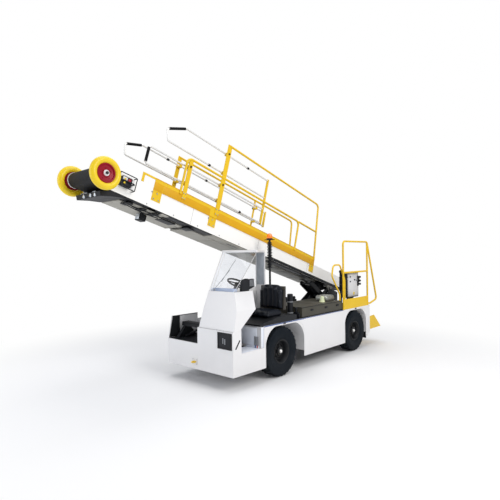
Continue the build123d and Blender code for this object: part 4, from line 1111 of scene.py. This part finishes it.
    def _mast(self) -> None:
        """Finned cover of the mast and the beacon's lens and base."""
        x, y = 20.0, 262.0
        profile = [(0, 20)]
        for number in range(18):
            z = number * 26
            profile += [(z + 4, 26), (z + 9, 45), (z + 15, 45), (z + 20, 26)]
        profile += [(470, 20)]
        inner = [(470, 2), (0, 2)]
        Shape().spin((x, y, 1800), profile + inner, UP, 32).piece("mast_bellows", PLASTIC, Slot.PLASTIC)
        Shape().spin((x, y, 2310), [(0, 2), (0, 56), (16, 56), (20, 50), (20, 2)], UP, 40).piece(
            "beacon_base", PLASTIC, Slot.PLASTIC)
        dome = [(0, 2), (0, 50), (10, 52), (40, 50), (68, 44), (82, 30), (89, 12), (90, 2)]
        Shape().spin((x, y, 2329), dome, UP, 40).piece("beacon_lens", LENS_ORANGE, Slot.BEACON, ("beacon",))


@dataclass
class Boom:
    """Fittings of the boom: bolts, seams, belt texture, lamps, tip controls and bumper wheels."""

    left_y: float = -45.0
    right_y: float = -700.0
    tip_s: float = 3000.0
    drum_n: float = 125.0

    def build(self) -> None:
        """Makes the boom's fittings."""
        self._panels()
        self._belly()
        self._belt()
        self._tip()
        self._bumper_wheel("left", 125.0, 1, Body.BUMPER_LEFT)
        self._bumper_wheel("right", -770.0, -1, Body.BUMPER_RIGHT)

    def _panels(self) -> None:
        """Bolt heads and joints of the side panels, the guard's web in a darker amber as painted shade, and
        the skirt by the tail.
        """
        bolts = Shape(TILT)
        joints = Shape(TILT)
        for y, side in ((self.left_y, 1), (self.right_y, -1)):
            out = Vector((0, side, 0))
            bolts.bolts([(s, y, 30) for s in range(-3300, 2700, 500)], out, 8, 5)
            for n, offsets in ((140, (-45, 45)), (230, (0, 90))):
                spots = [(s + d, y + side * 6, n) for s in (-2100, 925, 2072) for d in offsets]
                bolts.bolts(spots, out, 9, 6)
            for s in (-1950, -300, 1350):
                joints.block((s - 2, min(y, y + side * 1.2), 4), (s + 2, max(y, y + side * 1.2), 286))
        bolts.piece("panel_bolts", STEEL, Slot.STEEL)
        # Painted shade: the guard's web is drawn in the darker copy of the amber.
        web = Shape(TILT)
        for low, high in ((-2176, -2026), (-2016, 840), (1010, 1982), (1992, 2148)):
            web.block((low, -39, 276), (high, -37, 392), 0.8)
        web.block((-2176, -39, 268), (2148, -33, 276), 1).block((-2176, -39, 442), (2148, -34, 450), 1)
        web.piece("guard_web", SHADED_WEB, Slot.AMBER)
        skirt = Shape(TILT)
        face = self.left_y - 0.5
        skirt.plate([(-3440, face, 2), (-3440, face, 60), (-760, face, 60), (-480, face, 2)], (0, 2.5, 0))
        skirt.piece("tail_skirt", BLACK, Slot.BLACK)
        joints.piece("panel_joints", GREY_PLASTIC, Slot.BOOM)

    def _belly(self) -> None:
        """Pans, trays, ribs and thin hoses under the boom."""
        tray = Shape(TILT)
        for low, high in ((-2185, -685), (845, 2005), (2140, 2540)):
            tray.block((low, -250, -12), (high, -56, -4), 2)
        tray.block((1505, -690, -12), (1690, -250, -4), 2).block((1475, -430, -34), (1750, -250, -12), 4)
        tray.block((-56, -690, -14), (-24, -250, -6), 2)
        for low, high in ((1180, 1330), (1900, 1985), (2120, 2200), (2360, 2450)):
            tray.block((low, -330, -44), (high, -120, -26), 6)
        tray.tube([(1790, -190, -40), (2060, -150, -52), (2300, -210, -46), (2520, -130, -40)], 9, 60, 3)
        tray.tube([(1790, -300, -34), (2000, -250, -60), (2240, -300, -40), (2480, -240, -44)], 7, 60, 3)
        tray.piece("belly_tray", BLACK, Slot.FRAME)
        near = Shape(TILT).block((-685, -250, -20), (845, -56, -6), 2)
        near.block((1790, -246, -20), (2360, -140, -12), 2).block((1770, -140, -24), (1900, -56, -14), 2)
        near.piece("belly_near_pans", BELLY, Slot.BELLY)
        # Painted shade: the far pan takes the darker copy of the belly grey.
        Shape(TILT).block((-2182, -688, -28), (-1150, -252, -25), 1).piece(
            "belly_shaded_pan", BELLY_PAINTED_SHADE, Slot.BELLY)
        slots = Shape(TILT)
        for low, high in ((-940, -700), (-420, -120), (120, 400)):
            slots.block((low, -160, -22), (high, -140, -19), 1)
        slots.block((-70, -150, -24), (10, -60, -19), 2)
        slots.piece("belly_slots", BLACK, Slot.FRAME)
        ribs = Shape(TILT)
        for s in (-2170, -1450, -760, -75, 0, 600, 1215, 1355, 1950, 2525):
            ribs.block((s - 14, -690, -31), (s + 14, -256, -25), 2)
        ribs.piece("belly_ribs", BELLY, Slot.BELLY)

    def _belt(self) -> None:
        """Low grip ribs across the belt."""
        ribs = Shape(TILT)
        for number in range(108):
            s = -3540 + number * 61
            ribs.block((s - 4, -664, 236), (s + 4, -82, 239), 1, 1)
        ribs.piece("belt_ribs", BELT, Slot.BELT)

    def _tip(self) -> None:
        """Pale drum rings, push buttons in their cage, and the lamps of the tip."""
        roller = Shape(TILT)
        for y in (-64, -681):
            roller.spin((self.tip_s, y, self.drum_n), [(-8, 96), (-8, 116), (8, 116), (8, 96)], steps=48)
        roller.piece("drum_rings", PANEL_GREY, Slot.BODY)
        buttons = Shape(TILT)
        buttons.spin((2590, 17, 205), [(0, 2), (0, 14), (10, 14), (12, 24), (20, 22), (24, 2)], steps=24)
        buttons.piece("tip_stop", RED, Slot.PLASTIC)
        buttons = Shape(TILT)
        for n in (210, 155):
            buttons.rod((2655, 17, n), (2655, 27, n), 14, bevel=2)
        buttons.piece("tip_buttons", BUMPER, Slot.PLASTIC)
        cage = Shape(TILT)
        for n in (88, 276):
            cage.tube([(2486, -44, n), (2486, 42, n), (2752, 42, n), (2752, -44, n)], 7, 24, 3)
        for s in (2486, 2752):
            cage.tube([(s, 40, 88), (s, 40, 276)], 7, 0, 3)
        cage.block((2560, 16, 118), (2650, 24, 176), 3)
        cage.piece("tip_cage", BLACK, Slot.BLACK)
        Shape(TILT).block((2616, 17, 196), (2690, 21, 240), 2).piece("tip_face", PANEL_GREY, Slot.BODY)
        lamps = Shape(TILT)
        lamps.block((2846, -640, -64), (2900, -470, -30), 10).block((2850, -330, -62), (2900, -230, -32), 10)
        for y in (-180, -300, -480):
            lamps.rod((2905, y, -100), (2925, y, -104), 26, bevel=4)
        lamps.piece("tip_lamps", LENS_CLEAR, Slot.LAMP)
        glass = Shape(TILT)
        glass.block((2080, -448, -140), (2086, -352, -56), 3)
        glass.piece("work_lens", LENS_CLEAR, Slot.LAMP)

    def _bumper_wheel(self, ending: str, y: float, side: int, body: Body) -> None:
        """One fat bumper wheel with its red hub and pale cap.

        Args:
            ending: Ending of the names.
            y: Its middle plane.
            side: Outward direction.
            body: Body that it rides on.
        """
        centre = (self.tip_s, y, self.drum_n)
        tyre = Shape(TILT)
        ring = [(47.8 * math.cos(a), 170.5 + 47.8 * math.sin(a)) for a in
                (2 * math.pi * k / 24 for k in range(24))]
        tyre.spin(centre, ring, steps=72)
        tyre.piece("bumper_tyre_" + ending, BUMPER, Slot.BUMPER, ("bumper_wheel_" + ending,), body)
        hub = Shape(TILT)
        dish = ((26, 130), (34, 124), (30, 112), (14, 104), (10, 60), (16, 52), (24, 46), (24, 21),
                (-30, 21), (-30, 60), (-10, 104), (-28, 130))
        profile = [(side * a, r) for a, r in dish]
        hub.spin(centre, profile, steps=64)
        for number in range(5):
            angle = 2 * math.pi * number / 5
            x, z = centre[0] + 78 * math.cos(angle), centre[2] + 78 * math.sin(angle)
            hub.rod((x, y + side * 10, z), (x, y + side * 20, z), 9, bevel=1.5, sides=6)
        hub.piece("bumper_hub_" + ending, RED, Slot.BUMPER, body=body)
        cap = [(side * a, r) for a, r in ((24, 2), (24, 40), (30, 40), (34, 30), (40, 26), (42, 2))]
        Shape(TILT).spin(centre, cap, steps=32).piece("bumper_cap_" + ending, WHITE, Slot.BODY, body=body)


@dataclass
class Rails:
    """Foam grips, knobs, collars and end bars of the sliding hand rails; bolts of the posts."""

    left_y: float = -85.0
    right_y: float = -660.0

    def build(self) -> None:
        """Makes the rails' fittings."""
        left = (((1815, 1440), (2117, 1285)), ((2362, 620), (2362, 855)))
        right = (((2160, 1092), (2420, 993)),)
        for ending, y, grips, body in (("left", self.left_y, left, Body.SLIDER_LEFT),
                                       ("right", self.right_y, right, Body.SLIDER_RIGHT)):
            foam = Shape(TILT)
            for (s0, n0), (s1, n1) in grips:
                foam.rod((s0, y, n0), (s1, y, n1), 22, bevel=6, sides=28)
            foam.piece("grips_" + ending, FOAM, Slot.PLASTIC, body=body)
        Shape(TILT).block((-309, -103, 573), (-273, -67, 1477), 4).piece(
            "end_bar_left", AMBER, Slot.AMBER, body=Body.SLIDER_LEFT)
        Shape(TILT).block((-1034, -678, 790), (-998, -642, 1127), 4).piece(
            "end_bar_right", AMBER, Slot.AMBER, body=Body.SLIDER_RIGHT)
        collars = Shape(TILT)
        for s, n in ((300, 1450), (1200, 1100), (300, 600)):
            collars.rod((s - 22, self.left_y, n), (s + 22, self.left_y, n), 21, bevel=3)
        collars.piece("collars_left", PLASTIC, Slot.PLASTIC, body=Body.SLIDER_LEFT)
        collars = Shape(TILT)
        for s, n in ((725, 1100), (1625, 1100)):
            collars.rod((s - 22, self.right_y, n), (s + 22, self.right_y, n), 21, bevel=3)
        collars.piece("collars_right", PLASTIC, Slot.PLASTIC, body=Body.SLIDER_RIGHT)
        knobs = Shape(TILT)
        for s, n in ((867, 1450), (867, 875), (1600, 875)):
            knobs.rod((s, -27, n), (s, -16, n), 6)
            knobs.rod((s, -20, n), (s, -7, n), 16, bevel=3)
        for s, n in ((1352, 1100), (-707, 1100)):
            knobs.rod((s, -718, n), (s, -742, n), 6)
            knobs.rod((s, -728, n), (s, -752, n), 22, bevel=4)
        knobs.piece("clamp_knobs", PLASTIC, Slot.PLASTIC)
        bolts = Shape(TILT)
        for s, width in ((867, 90), (1600, 75)):
            bolts.bolts([(s + d, -27, n) for d in (-width * 0.3, width * 0.3) for n in (345, 425)],
                        ACROSS, 8, 5)
        bolts.piece("post_bolts", STEEL, Slot.STEEL)


@dataclass
class Studio:
    """Floor, lights and the camera at the photograph's angle.

    Attributes:
        place: Place of the camera, in metres.
        yaw: Its heading, in degrees.
        pitch: Its tilt, in degrees.
        roll: Its roll, in degrees.
        lens: Its focal length, in millimetres.
        fade_from: Where the floor starts to fade to white, in metres.
        fade_to: Where it is white.
        aim: Point that the lamps face.
    """

    place: Point = (6.0525, 5.195, 2.0575)
    yaw: float = 221.88
    pitch: float = 0.48
    roll: float = -0.6
    lens: float = 31.1
    fade_from: float = 2.6
    fade_to: float = 6.5
    aim: Point = (-0.3, 0.0, 1.2)

    def build(self) -> None:
        """Makes the studio."""
        self._camera()
        self._floor()
        self._lights()

    def _camera(self) -> None:
        """The camera."""
        yaw, pitch, roll = (math.radians(a) for a in (self.yaw, self.pitch, self.roll))
        ahead = Vector((math.cos(yaw) * math.cos(pitch), math.sin(yaw) * math.cos(pitch), math.sin(pitch)))
        right = ahead.cross(UP).normalized()
        up = right.cross(ahead)
        c, s = math.cos(roll), math.sin(roll)
        right, up = right * c + up * s, up * c - right * s
        data = bpy.data.cameras.new("camera")
        data.lens = self.lens
        data.sensor_width = 36.0
        data.clip_end = 400.0
        camera = bpy.data.objects.new("camera", data)
        turn = Matrix((right, up, -ahead)).transposed().to_4x4()
        camera.matrix_world = Matrix.Translation(self.place) @ turn
        bpy.context.scene.collection.objects.link(camera)
        bpy.context.scene.camera = camera

    def _floor(self) -> None:
        """A pale floor that fades to white away from the machine."""
        sheet = bmesh.new()
        bmesh.ops.create_grid(sheet, x_segments=1, y_segments=1, size=150.0)
        mesh = bpy.data.meshes.new("floor")
        sheet.to_mesh(mesh)
        sheet.free()
        floor = bpy.data.objects.new("floor", mesh)
        bpy.context.scene.collection.objects.link(floor)
        material = bpy.data.materials.new("studio_floor")
        graph = Graph(material)
        matt = graph.add("BsdfDiffuse", {"Color": (0.86, 0.86, 0.865, 1.0)}).outputs["BSDF"]
        white = graph.add("Emission", {"Color": WHITE_LIGHT})
        place = graph.add("TexCoord")
        distance = graph.add("VectorMath", {0: place.outputs["Object"]}, operation="LENGTH")
        fade = graph.add("MapRange", {"Value": distance.outputs["Value"], "From Min": self.fade_from,
                                      "From Max": self.fade_to}, interpolation_type="SMOOTHSTEP")
        blend = graph.add("MixShader", {"Fac": fade.outputs["Result"], 1: matt, 2: white.outputs["Emission"]})
        choose = graph.add("MixShader", {"Fac": graph.seen(), 1: matt, 2: blend.outputs["Shader"]})
        graph.add("OutputMaterial", {"Surface": choose.outputs["Shader"]})
        mesh.materials.append(material)

    def _lights(self) -> None:
        """A pale world, a large key lamp and a soft fill."""
        world = bpy.data.worlds.new("studio")
        bpy.context.scene.world = world
        graph = Graph(world)
        light = graph.add("Background", {"Color": (0.93, 0.95, 1.0, 1.0), "Strength": 0.55})
        white = graph.add("Background", {"Color": WHITE_LIGHT, "Strength": 1.0})
        mix = graph.add("MixShader", {"Fac": graph.seen(), 1: light.outputs["Background"],
                                      2: white.outputs["Background"]})
        graph.add("OutputWorld", {"Surface": mix.outputs["Shader"]})
        for name, spot, energy, size, tint in (
            ("key", (1.0, 9.0, 7.0), 510.0, 5.0, (1.0, 0.985, 0.96)),
            ("top", (0.0, 0.0, 11.0), 460.0, 8.0, (1.0, 1.0, 1.0)),
            ("fill", (9.0, -3.0, 4.0), 235.0, 6.0, (0.92, 0.95, 1.0)),
        ):
            data = bpy.data.lights.new(name, "AREA")
            data.energy = energy
            data.size = size
            data.color = tint
            lamp = bpy.data.objects.new(name, data)
            lamp.location = spot
            ahead = Vector(self.aim) - Vector(spot)
            lamp.rotation_euler = ahead.to_track_quat("-Z", "Y").to_euler()
            bpy.context.scene.collection.objects.link(lamp)
        bpy.context.scene.view_settings.view_transform = "Standard"


def main() -> None:
    """Builds the dressed machine and its studio."""
    logging.basicConfig(level=logging.INFO, format="%(name)s: %(message)s")
    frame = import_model()
    Studio().build()
    FrameNodes().dress(frame["nodes"])
    for group in (RoadWheels(), Bodywork(), Cab(), Seat(), Deck(), Boom(), Rails()):
        group.build()
        log.info("built %s", type(group).__name__)


if __name__ == "__main__":
    main()
